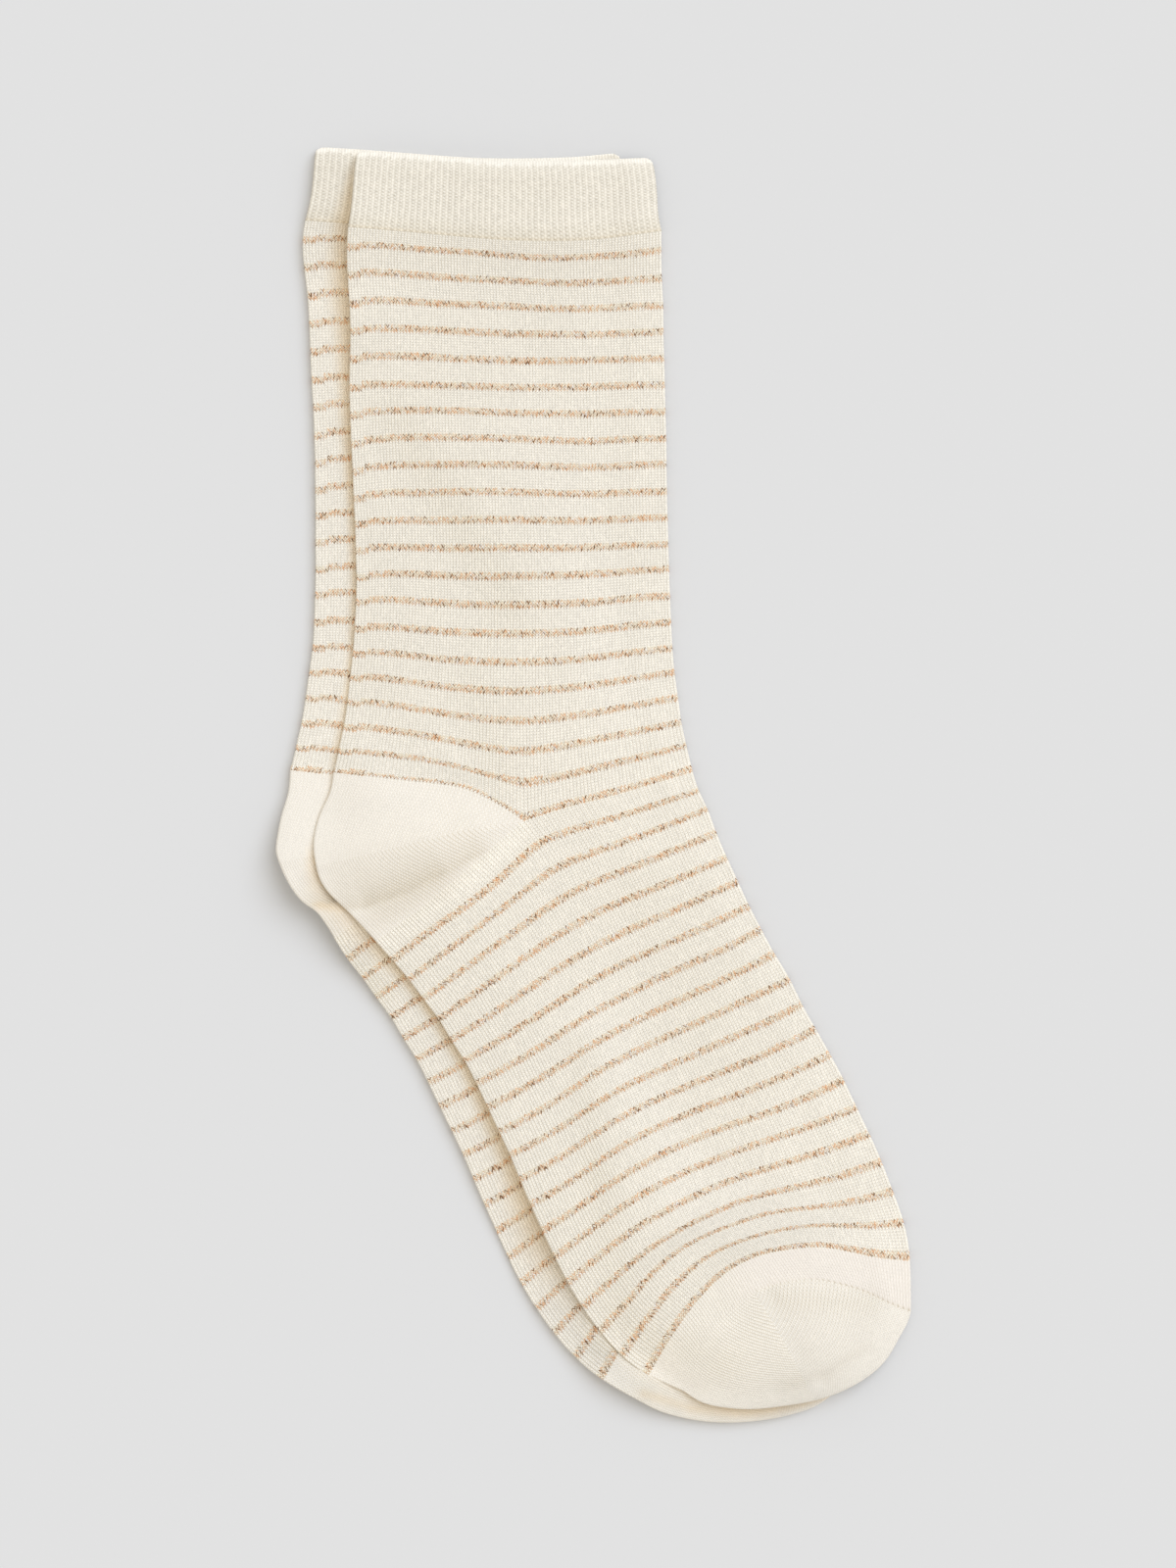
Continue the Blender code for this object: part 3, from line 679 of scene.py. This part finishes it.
class Columns:
    """Round a flattened tube from its left fold: its columns, with share across, level and wale."""

    def __init__(self, count):
        # As many steps left of the toe's point as right of it
        near = int(round(count * (APEX - TOE_APEX) / (1 - FOLD - TOE_APEX)))
        left = split(FOLD, TOE_APEX, count)
        middle = split(TOE_APEX, APEX, near)[1:]
        right = split(APEX, 1 - FOLD, count - near)[1:]
        front = np.concatenate([left, middle, right])
        ones = np.ones(len(front))
        half = FOLD_STEPS // 2
        start = math.pi / 2 * np.arange(half, 0, -1) / half
        turn = math.pi * np.arange(1, FOLD_STEPS) / FOLD_STEPS
        end = math.pi / 2 * (1 + np.arange(half - 1, 0, -1) / half)
        twice = 2 * FOLD / math.pi
        spans = [
            (FOLD * (1 - np.sin(start)), np.cos(start), FOLD - twice * start),
            (front, ones, front),
            (1 - FOLD * (1 - np.sin(turn)), np.cos(turn), 1 - FOLD + twice * turn),
            (front[::-1], -ones, 2 - front[::-1]),
            (FOLD * (1 - np.sin(end)), np.cos(end), 2 + FOLD - twice * end),
            ([0], [0], [2]),
        ]
        self.share, self.level, wale = [np.concatenate(parts) for parts in zip(*spans)]
        self.wale = WALES * wale

    def left_half(self, apex):
        """The columns from the point on the back, round the left fold, to that on the front."""
        near = self.share <= apex + TINY
        place = np.arange(len(near))
        half = len(near) // 2
        first = np.flatnonzero(near & (place < half))
        last = np.flatnonzero(near & (place > half))[:-1]
        order = np.concatenate([last, first])
        wale = np.where(self.wale > WALES, self.wale - 2 * WALES, self.wale)
        return self.share[order], self.level[order], wale[order]

    def right_half(self, apex):
        """The shares from the point on the back, round the right fold, to that on the front."""
        return self.share[np.flatnonzero(self.share >= apex - TINY)[::-1]]


def tube_patch(plan, columns, courses, lower, welt=False):
    points, height = lifted(plan, columns.level[None, :], lower, welt)
    wale = np.broadcast_to(columns.wale, plan.shape[:2])
    course = np.repeat(REPEAT * courses[:, None], plan.shape[1], axis=1)
    return {"points": points, "height": height, "wale": wale, "course": course}


def gore_wale(near, t, spread):
    """The wale at a place in a pocket. Wales run from its first line to the gore, where they lie
    wider apart, and turn back there."""
    to_gore = np.minimum(2 * t, 2 - 2 * t)
    out = 1 - near
    at_gore = 1 - spread * out - (1 - spread) * out**4
    return near + to_gore**1.3 * (at_gore - near)


def pocket(fold, first, last, level, side, apex, depth, spread, start, lower):
    """A turned pocket, from its fold to its point, in two wedges that meet at its gore.

    first and last are the lines where it starts and ends, each with how near to the point every
    column is. side is -1 on the back and 1 on the front, and apex the share across of the point.
    depth is in courses, and start is the course of each line."""
    (near_a, line_a), (near_b, line_b) = first, last
    t = split(0, 1, len(fold) - 1)[:, None]
    fold[0] = line_a[np.argmin(near_a)]
    fold[-1] = line_b[np.argmin(near_b)]
    point = line_a[np.argmax(near_a)]
    near = near_a + t * (near_b - near_a)
    chord = fold[:, None] + near[..., None] * (point - fold)[:, None]
    dip_a = line_a - (fold[0] + near_a[:, None] * (point - fold[0]))
    dip_b = line_b - (fold[-1] + near_b[:, None] * (point - fold[-1]))
    plan = chord + (1 - t[..., None]) ** 2 * dip_a + t[..., None] ** 2 * dip_b
    points, height = lifted(plan, level[None, :], lower)
    course = depth * (1 - near) * np.minimum(2 * t, 2 - 2 * t)
    wale = side * WALES * apex * gore_wale(near, t, spread)
    half = len(fold) // 2
    wedges = []
    for rows, at in ((slice(half + 1), start[0] + course), (slice(half, None), start[1] - course)):
        fields = {"points": points, "height": height, "wale": wale, "course": at}
        wedges.append({name: field[rows] for name, field in fields.items()})
    return wedges


def heel_patches(columns, steps, lower):
    share, level, wale = columns.left_half(APEX)
    fold = heel_fold(split(0, 1, 2 * steps), lower)
    top = leg_last(share, lower)
    under = foot_first(share, lower)
    at_apex = np.isclose(share, APEX)
    under[at_apex] = top[at_apex]
    first, last = (share / APEX, top), (share / APEX, under)
    start = (HEEL_START, HEEL_START)
    size = (APEX, HEEL_COURSES, HEEL_SPREAD)
    return pocket(fold, first, last, level, np.sign(wale), *size, start, lower)


def toe_patches(columns, steps, lower):
    """The toe's pocket: it starts from the left of the tube's end and is linked to the right."""
    left, level, wale = columns.left_half(TOE_APEX)
    right = columns.right_half(TOE_APEX)
    fold = toe_fold(split(0, 1, 2 * steps), lower)
    first = (left / TOE_APEX, tube_last(left, lower))
    last = ((1 - right) / (1 - TOE_APEX), tube_last(right, lower))
    start = (TOE_START, OTHER_SIDE + TOE_START)
    size = (TOE_APEX, TOE_COURSES, TOE_SPREAD)
    return pocket(fold, first, last, level, np.sign(wale), *size, start, lower)


def weld(points):
    """Finds the points that fall together: the first of each place, and every point's place."""
    keys = np.round(points * WELDS_A_MM).astype(np.int64)
    _, first, place = np.unique(keys, axis=0, return_index=True, return_inverse=True)
    return first, place.reshape(-1)


def weld_normals(patches):
    """Gives each patch the normals of the whole sock's surface, so that no zone's edge shows."""
    sums = []
    for patch in patches:
        points = patch["points"]
        quads = np.cross(points[1:, 1:] - points[:-1, :-1], points[:-1, 1:] - points[1:, :-1])
        total = np.zeros_like(points)
        for rows in (slice(-1), slice(1, None)):
            for cols in (slice(-1), slice(1, None)):
                total[rows, cols] += quads
        sums.append(total.reshape(-1, 3))
    first, place = weld(np.vstack([patch["points"].reshape(-1, 3) for patch in patches]))
    total = np.zeros((len(first), 3))
    np.add.at(total, place, np.vstack(sums))
    total = unit(total)
    start = 0
    for patch in patches:
        size = patch["points"][..., 0].size
        patch["normals"] = total[place[start : start + size]].reshape(patch["points"].shape)
        start += size


class Shell:
    """Collects quads with their normals and knitting coordinates, and makes one mesh of them."""

    def __init__(self):
        self.points, self.normals, self.knit, self.quads = [], [], [], []
        self.size = 0

    def grid(self, points, normals, wale, course, flip=False):
        rows, cols = points.shape[:2]
        index = self.size + np.arange(rows * cols).reshape(rows, cols)
        quads = np.stack([index[:-1, :-1], index[1:, :-1], index[1:, 1:], index[:-1, 1:]], axis=-1)
        quads = quads.reshape(-1, 4)
        self.quads.append(quads[:, ::-1] if flip else quads)
        self.points.append(points.reshape(-1, 3))
        self.normals.append(normals.reshape(-1, 3))
        self.knit.append(np.stack([wale, course], axis=-1).reshape(-1, 2))
        self.size += rows * cols

    def wall(self, patch, wall):
        """The outer surface of a patch and, one wall inside it, the coarser inner one."""
        points, normals = patch["points"], patch["normals"]
        wale, course = patch["wale"], patch["course"]
        self.grid(points, normals, wale, course)
        last = len(points) - 1
        rows = np.unique(np.append(np.arange(0, last, INNER_STEP), last))
        depth = np.minimum(wall, WALL_SHARE * patch["height"])[..., None]
        inner = points[rows] - (depth * normals)[rows]
        self.grid(inner, -normals[rows], wale[rows], course[rows], flip=True)

    def rim(self, patch, row, wall, rounded=False):
        """Closes the wall at the first or last row of a patch."""
        edge, inside = patch["points"][row], patch["points"][1 if row == 0 else -2]
        normal = patch["normals"][row]
        wall = np.minimum(wall, WALL_SHARE * patch["height"][row])[:, None]
        out = edge - inside
        out = unit(out - (out * normal).sum(axis=1)[:, None] * normal)
        angles = np.linspace(0, math.pi, ROUND_STEPS if rounded else 2)
        turned = np.cos(angles)[:, None, None] * normal
        if rounded:
            turned = turned + np.sin(angles)[:, None, None] * out
        points = edge - 0.5 * wall * normal + 0.5 * wall * turned
        normals = turned if rounded else np.broadcast_to(out, points.shape)
        wale = np.broadcast_to(patch["wale"][row], points.shape[:2])
        step = np.linspace(0, -RIM_COURSES if row == 0 else RIM_COURSES, len(angles))[:, None]
        self.grid(points, normals, wale, patch["course"][row] + step, flip=row == 0)

    def mesh(self, name, lower, base):
        collected = (self.points, self.normals, self.knit, self.quads)
        points, normals, knit, quads = map(np.vstack, collected)
        first, place = weld(points)
        faces, corners = [], []
        for face, quad in zip(place[quads].tolist(), quads.tolist()):
            own = [(f, q) for n, (f, q) in enumerate(zip(face, quad)) if f != face[n - 1]]
            if len(own) >= 3:
                faces.append([f for f, _ in own])
                corners.extend(q for _, q in own)
        mesh = bpy.data.meshes.new(name)
        mesh.from_pydata(((points[first] + CENTRE) * MM).tolist(), [], faces)
        mesh.uv_layers.new(name="Knit").data.foreach_set("uv", knit[corners].reshape(-1))
        plan = points[first, :2]
        # Painted shade: on the lower sock a warm shade in the nook beside the upper one and a grey
        # shade in its shadow; on the upper sock a grey, slightly warm shade above the heel's crease
        # and elsewhere. Both are drawn only on faces that look up. How far the knit is drawn open
        # deepens its wale lines and paints shade into its gaps
        if lower:
            tint, dim = nook(plan), bands(plan, DIM_LINES)
        else:
            dim = np.maximum(creases(plan, DIM_CREASES), bands(plan, UPPER_DIM_LINES))
            tint = CREASE_TINT * dim
        seen = normals[first, 2] > FACES_UP
        drawn = {"nook": tint * seen, "dim": dim * seen, "open": open_knit(plan, lower, base)}
        for kind, values in drawn.items():
            mesh.attributes.new(kind, "FLOAT", "POINT").data.foreach_set("value", values)
        mesh.shade_smooth()
        mesh.normals_split_custom_set(normals[corners].tolist())
        return mesh


def sock(prefix, lower, count, step):
    """The five knitted zones of one sock."""
    columns = Columns(count)
    share = columns.share

    def courses(start, end, rows=ROWS_A_REPEAT):
        return split(start, end, max(1, int(round((end - start) * rows / step))))

    def tube(zone, at):
        return tube_patch(zone_plan(zone, at, share, lower), columns, at, lower)

    at = courses(CUFF_TOP + 0.5 * CUFF_WALL / REPEAT_LENGTH, LEG_START)
    plan = zone_plan("cuff", at, share, lower)
    corner = np.maximum(1 - np.minimum(share, 1 - share) / CORNER, 0) ** 2
    plan[..., 1] -= CORNER_DROP * corner * smooth(1 - (at - CUFF_TOP) / CORNER_REACH)[:, None]
    cuff = tube_patch(plan, columns, at, lower, welt=True)
    lip = smooth((at - (LEG_START - LIP_REACH)) / LIP_REACH)[:, None]
    lip = CUFF_LIP * lip * np.maximum(columns.level, 0)
    cuff["points"][..., 2] -= lip
    cuff["height"] -= lip

    leg = tube("leg", courses(LEG_START, LEG_END))
    foot = tube("foot", courses(LEG_END, FOOT_END))
    end = tube("foot", courses(FOOT_END, TUBE_END, TOE_ROWS_A_REPEAT))
    heel = heel_patches(columns, int(round(HEEL_STEPS / step)), lower)
    toe = toe_patches(columns, int(round(TOE_STEPS / step)), lower)
    zones = {"cuff": [cuff], "leg": [leg], "foot": [foot], "heel": heel, "toe": [end] + toe}
    weld_normals([patch for patches in zones.values() for patch in patches])

    pieces = {}
    for zone, patches in zones.items():
        shell = Shell()
        wall = CUFF_WALL if zone == "cuff" else WALL
        for patch in patches:
            shell.wall(patch, wall)
        shell.rim(patches[0], 0, wall, rounded=zone == "cuff")
        if zone != "toe":
            shell.rim(patches[-1], -1, wall)
        mesh = shell.mesh(prefix + "_" + zone, lower, OPEN_BASE[zone])
        pieces[zone] = put(prefix + "_" + zone + "_knit", mesh)
    return pieces


# Materials


def tone(red, green, blue):
    """A colour given as it looks on screen."""
    shares = [c / 255 for c in (red, green, blue)]
    return (*(c / 12.92 if c <= 0.0404 else ((c + 0.055) / 1.055) ** 2.4 for c in shares), 1)


def feed(socket, value):
    if isinstance(value, Value):
        socket.id_data.links.new(value.socket, socket)
    else:
        socket.default_value = value


def node(kind, inputs, output=0, tree=None, **settings):
    """Adds a node to a material, the one that its inputs are in, and gives one of its outputs."""
    inputs = dict(inputs)
    if tree is None:
        tree = next(v.socket.id_data for v in inputs.values() if isinstance(v, Value))
    made = tree.nodes.new("ShaderNode" + kind)
    for name, setting in settings.items():
        setattr(made, name, setting)
    for name, value in inputs.items():
        feed(made.inputs[name], value)
    return Value(made.outputs[output])


def calc(kind, *values):
    return node("Math", enumerate(values), operation=kind)


def operation(kind, swapped=False):
    def apply(self, other):
        return calc(kind, other, self) if swapped else calc(kind, self, other)

    return apply


class Value:
    """A number or colour in a material. Arithmetic with it adds nodes."""

    def __init__(self, socket):
        self.socket = socket

    def __abs__(self):
        return calc("ABSOLUTE", self)

    def __floor__(self):
        return calc("FLOOR", self)

    __add__ = operation("ADD")
    __radd__ = operation("ADD", swapped=True)
    __sub__ = operation("SUBTRACT")
    __rsub__ = operation("SUBTRACT", swapped=True)
    __mul__ = operation("MULTIPLY")
    __lt__ = operation("LESS_THAN")
    __gt__ = operation("GREATER_THAN")


def ramp(value, start, end, low=0, high=1):
    """Eases from low to high as the value goes from start to end."""
    ends = {"From Min": start, "From Max": end, "To Min": low, "To Max": high}
    return node("MapRange", {"Value": value, **ends}, interpolation_type="SMOOTHSTEP")


def wave(x, period=1):
    return calc("COSINE", x * (2 * math.pi / period))


def between(share, a, b):
    """A number that goes from a to b."""
    return share * b + (1 - share) * a


def mix(share, a, b, blend="MIX"):
    """A colour that goes from a to b."""
    return node("Mix", {0: share, 6: a, 7: b}, 2, data_type="RGBA", blend_type=blend)


def multiply(share, colour, red, green, blue):
    """A colour that goes from itself to itself multiplied by another."""
    return mix(share, colour, (red, green, blue, 1), "MULTIPLY")


def chance(x, y, z):
    """A number from 0 to 1 that is another one for each x, y and z."""
    place = node("CombineXYZ", enumerate((x, y, z)))
    return node("TexWhiteNoise", {"Vector": place}, "Value", noise_dimensions="3D")


def noise(place, scale, detail=2):
    return node("TexNoise", {"Vector": place, "Scale": scale, "Detail": detail})


def mock_rib(u, v, place):
    """The cuff's two-wale repeat with tucked loops, a lattice of small beads: its height, and how
    the stitch at a place differs from the others."""
    sway = (noise(place, 420, 1) - 0.5) * 0.35
    course = v * CUFF_COURSES + sway + chance(math.floor(u), 0, 9) * 0.08
    luck = chance(math.floor(u), math.floor(course), 3) - 0.5
    beads = 0.22 + wave(u, 2) * 0.72 + wave(u) * 0.15
    height = wave(course) * beads + wave(u) * 0.38 + luck * 0.12
    return height * 0.5 + 0.5, luck


def lurex(u, v, slant, across, loop, border, colour, first, last):
    """Draws the stripes into the colour of the knit, and says where they lie."""
    phase = calc("ROUND", v * (1 / REPEAT))
    away = slant - (phase * REPEAT + 0.2)
    if first == 1:
        # Along the pocket of the heel the last stripe is one single course
        thin = (phase > last - 0.5) * (across > 9) * (across < 51.5) * 0.7
    else:
        # The last stripes thin out over the top of the foot
        thin = (phase > last - 2.5) * ramp(across, 24, 40) * ramp(across, 88, 74) * 0.2
    ragged = (chance(math.floor(u * 2), phase, 7) - 0.5) * 0.2
    inside = (away > thin - STRIPE_HALF + ragged) * (away < STRIPE_HALF - thin + ragged)
    inside = inside * (phase > first - 0.5) * (phase < last + 0.5)
    # Random stitch by stitch the lurex goes from GOLD to GOLD_LIGHT, partly its own tone and partly
    # painted glints; a few stitches get a painted glint, and a few the dark of a metal thread
    # painted as reflecting nothing
    glint = chance(math.floor(u * 2), math.floor(slant * 2), 5)
    gold = mix(ramp(glint, 0.05, 0.55), GOLD, GOLD_LIGHT)
    gold = mix(glint > 0.91, gold, GOLD_GLINT)
    # Painted shade: darker between the loops, most on the stripe's lower course
    painted_loop_shade = ramp(loop - border * 0.35, 0.75, -0.2)
    gold = mix(painted_loop_shade * ramp(away, -0.6, 0.4, 0.40, 0.70), gold, GOLD_SHADE)
    gold = mix((glint < 0.09) * 0.85, gold, GOLD_DARK)
    return mix(inside, colour, gold), inside


def knitted(
    name, yarn, shade, relief, grain, stripes=None, wale_lines=None, smooth_at=None, seam=None
):
    """Fine plain knit, or the mock rib of the cuff, drawn from the wale and course coordinates.

    relief is the depth of the stitches in metres, and grain how unlike each other they are.
    stripes are the first and last lurex stripe. wale_lines and smooth_at say how deep the lines
    between the wales are, none in the rib, and how flat the loops. seam draws a zone's edge."""
    material = bpy.data.materials.new(name)
    material.use_nodes = True
    tree = material.node_tree
    u = node("SeparateXYZ", {0: node("UVMap", {}, tree=tree, uv_map="Knit")})
    v = Value(u.socket.node.outputs[1])
    place = node("TexCoord", {}, "Object", tree)
    openness_and_gap_shade, nook_shade, in_shadow = [
        node("Attribute", {}, "Fac", tree, attribute_name=kind) for kind in ("open", "nook", "dim")
    ]
    # Distance in wales from the left fold, the same on both layers
    across = WALES - abs(WALES - abs(u))

    if stripes and stripes[0] == 1:
        # The tube is one long spiral, so its stripes step by one course where the rounds start
        v = v - calc("MAXIMUM", ramp(u, WALES, 2 * WALES), u < 4)

    if wale_lines:
        side = abs(calc("FRACT", u) * 2 - 1)
        slant = v - (side - 0.5) * 0.9
        loop = wave(slant) * 0.5 + 0.5
        if smooth_at:
            loop = between(smooth_at(across, v), loop, 0.5)
        border = ramp(side, 0.55, 1)
        height = loop * (1 - border * 0.5)
        lines = border * wale_lines(across, v) * (0.8 + openness_and_gap_shade)
        height = height - (lines + ramp(side, 0.35, 0) * 0.12)
        luck = chance(math.floor(u * 2), math.floor(slant + 0.5), 1) - 0.5
    else:
        height, luck = mock_rib(u, v, place)
    height = calc("MAXIMUM", height, -0.6)
    fibre = noise(place, 2600) - 0.5
    cloudy = noise(place, 60, 3) - 0.5

    # Painted light and shade: the yarn's colour is lighter on top of the loops and darker in the
    # gaps
    depth = ramp(height, 0.8, -0.5)
    colour = mix(depth, yarn, shade)
    sockets = tree.nodes["Principled BSDF"].inputs
    if stripes:
        colour, inside = lurex(u, v, slant, across, loop, border, colour, *stripes)
        feed(sockets["Metallic"], inside * 0.15)
        feed(sockets["Roughness"], between(inside, YARN_ROUGH, LUREX_ROUGH))
    else:
        feed(sockets["Roughness"], YARN_ROUGH)
    if seam:
        colour, height = seam(u, v, across, colour, height)
    # Painted shade: darker gaps where the knit is drawn open, a warm shade in the nook, and a grey
    # dim shade
    colour = multiply(openness_and_gap_shade * (0.5 + depth), colour, *OPEN_GAP_SHADE_TINT)
    colour = multiply(nook_shade, colour, *NOOK_SHADE_TINT)
    colour = multiply(in_shadow, colour, *DIM_SHADE_TINT)
    value = 1 + luck * grain + fibre * grain + cloudy * 0.05
    feed(sockets["Base Color"], node("VectorMath", {0: colour, "Scale": value}, operation="SCALE"))
    height = height + fibre * 0.5 + luck * 0.25
    feed(sockets["Normal"], node("Bump", {"Strength": 1, "Distance": relief, "Height": height}))
    for socket, number in YARN_GLOSS.items():
        feed(sockets[socket], number)
    return material


def cuff_seam(u, v, across, colour, height):
    """The welt's turned top is finely ribbed, and painted light makes it lighter, most on the rib
    tops. Painted shade darkens the welt towards its turned-in lower edge, which shows as a soft tan
    line above the leg."""
    start = REPEAT * CUFF_TOP
    end = REPEAT * LEG_START
    ragged = chance(math.floor(u), 1, 8) * 1.2
    fold = ramp(v + ragged, start + 3.8, start + 2)
    ribs = 0.55 + wave(u) * 0.26
    height = between(fold, height, ribs)
    # Painted light: the turned top lighter, most on the rib tops
    colour = mix(fold * ramp(ribs, 0.1, 0.9, 0.55, 0.9), colour, tone(248, 243, 232))
    # Painted shade: darker towards the welt's lower edge, ending in a soft tan line
    colour = multiply(ramp(v, end - 6, end - 1, 0, 0.30), colour, 0.94, 0.92, 0.86)
    colour = multiply(ramp(v, end - 1.3, end - 0.3, 0, 0.6), colour, 0.95, 0.90, 0.82)
    return colour, height


def toe_seam(u, v, across, colour, height):
    """A fine linked seam, its chain of loops standing up, closes the toe across its top."""
    unlinked = 1 - (across > WALES * TOE_APEX)
    before = abs(v - TOE_START) + unlinked * 9
    gap = calc("MINIMUM", abs(v - (OTHER_SIDE + TOE_START)), before)
    chain = 0.5 + wave(across, 2) * 0.5
    groove = ramp(gap, 1, 0.2) * ramp(across, 58, 72, 0.25, 1)
    # The smooth courses over the top of the toes are drawn darker, and the wedge beyond the seam a
    # little darker
    top = over_toes(across, v) * (v < 0.5 * OTHER_SIDE)
    colour = multiply(top, colour, 0.905, 0.89, 0.90)
    colour = multiply(v > 0.5 * OTHER_SIDE, colour, 0.94, 0.94, 0.945)
    colour = multiply(groove * (1 - chain * 0.9), colour, 0.76, 0.73, 0.66)
    height = height * (1 - groove) + groove * (chain * 1.6)
    return colour, height


def over_toes(across, v):
    """From 0 to 1 in the smooth courses that run over the top of the toes to the seam."""
    return ramp(v, TOE_START + 4, TOE_START - 1) * ramp(across, 30, 52)


def toe_smooth(across, v):
    return over_toes(across, v) * 0.6


def foot_smooth(across, v):
    """Beside the heel pocket the foot starts a little smoother."""
    return ramp(v, HEEL_START + 7, HEEL_START + 3) * ramp(across, 56, 48, 0, 0.25)


def leg_wales(across, v):
    """Clear upright ribs in the first plain courses, fading further down."""
    return ramp(v, 6, 30, 1.5, 0.6)


def heel_wales(across, v):
    """The wales are faint above the gore of the heel and stand out below it."""
    return ramp(v, HEEL_START - 4, HEEL_START + 3, 0.85, 0.32)


def foot_wales(across, v):
    """The wales open up towards the left fold of the foot, and are fainter beside the heel."""
    beside = 1 - foot_smooth(across, v) * 0.7
    return ramp(across, 30, 8, 0.6, 1.2) * beside


def toe_wales(across, v):
    """The wales stand out in the first wedge of the toe, and fade round its end, beyond its gore
    and over the toes."""
    rim = ramp(across, 5, 17, 0.25, 1)
    strength = ramp(v, TOE_START, TOE_START + 12, 0.9, 2.1) * rim
    strength = between(over_toes(across, v), strength, 0.4)
    return between(v > 0.5 * OTHER_SIDE, strength, rim * 0.55)


# The plain knit's yarn, and the painted shade in its gaps
CREAM = tone(255, 250, 239)
CREAM_SHADE = tone(235, 226, 209)
# The lurex's colours: GOLD to GOLD_LIGHT its own tone with painted glints, GOLD_GLINT a painted
# glint, GOLD_SHADE painted shade between its loops, GOLD_DARK painted dark reflections
GOLD = tone(246, 193, 146)
GOLD_LIGHT = tone(255, 248, 226)
GOLD_GLINT = tone(255, 255, 250)
GOLD_SHADE = tone(166, 104, 62)
GOLD_DARK = tone(108, 76, 46)
# Each knit: its yarn's colour, the colour of the painted shade in its gaps, the depth of its
# stitches in metres, and how unlike each other they are
STRIPED = (CREAM, CREAM_SHADE, 0.00016, 0.12)
CUFF = (tone(237, 231, 218), tone(168, 156, 134), 0.00020, 0.08)
HEEL = (tone(241, 236, 227), tone(227, 218, 202), 0.00008, 0.05)
TOE = (tone(248, 243, 233), tone(228, 219, 202), 0.00010, 0.06)
materials = {
    "cuff": knitted("cuff_welt", *CUFF, seam=cuff_seam),
    "leg": knitted("leg_striped_knit", *STRIPED, (1, 21), leg_wales),
    "heel": knitted("heel_knit", *HEEL, None, heel_wales),
    "foot": knitted("foot_striped_knit", *STRIPED, (22, 40), foot_wales, foot_smooth),
    "toe": knitted("toe_knit", *TOE, None, toe_wales, toe_smooth, toe_seam),
}

for prefix, lower, count, step in (("lower_sock", True, 34, 1.5), ("upper_sock", False, 50, 1)):
    for zone, piece in sock(prefix, lower, count, step).items():
        piece.data.materials.append(materials[zone])
        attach(piece, "root")
        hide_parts(prefix + "_" + zone)

# Floor, light and camera

floor_mesh = bpy.data.meshes.new("floor")
corners = [(x * FLOOR_HALF, y * FLOOR_HALF, 0) for x, y in ((-1, -1), (1, -1), (1, 1), (-1, 1))]
floor_mesh.from_pydata(corners, [], [(0, 1, 2, 3)])
floor = put("floor", floor_mesh)
floor_material = bpy.data.materials.new("floor_paper")
floor_material.use_nodes = True
sockets = floor_material.node_tree.nodes["Principled BSDF"].inputs
sockets["Base Color"].default_value = (0.658, 0.658, 0.658, 1)
sockets["Roughness"].default_value = 1
sockets["Specular IOR Level"].default_value = 0
floor_mesh.materials.append(floor_material)

world = bpy.data.worlds.new("studio")
bpy.context.scene.world = world
world.use_nodes = True
background = world.node_tree.nodes["Background"]
background.inputs["Color"].default_value = (1.04, 1, 0.935, 1)
background.inputs["Strength"].default_value = 0.806

sun = bpy.data.lights.new("key", "SUN")
sun.energy = 1.40
sun.color = (0.91, 1, 1.15)
sun.angle = math.radians(50)
key = put("key", sun)
key.rotation_mode = "QUATERNION"
key.rotation_quaternion = Vector(TO_SUN).to_track_quat("Z", "Y")

camera_data = bpy.data.cameras.new("camera")
camera_data.lens = LENS
camera_data.sensor_width = SENSOR
camera_data.sensor_fit = "AUTO"
camera_data.clip_end = 20
camera = put("camera", camera_data)
height = PICTURE_HEIGHT * PIXEL * LENS / SENSOR + SOCKS_TOP
camera.location = ((CAMERA_X * PIXEL + CENTRE[0]) * MM, CENTRE[1] * MM, height * MM)
bpy.context.scene.camera = camera
bpy.context.scene.view_settings.view_transform = "Standard"
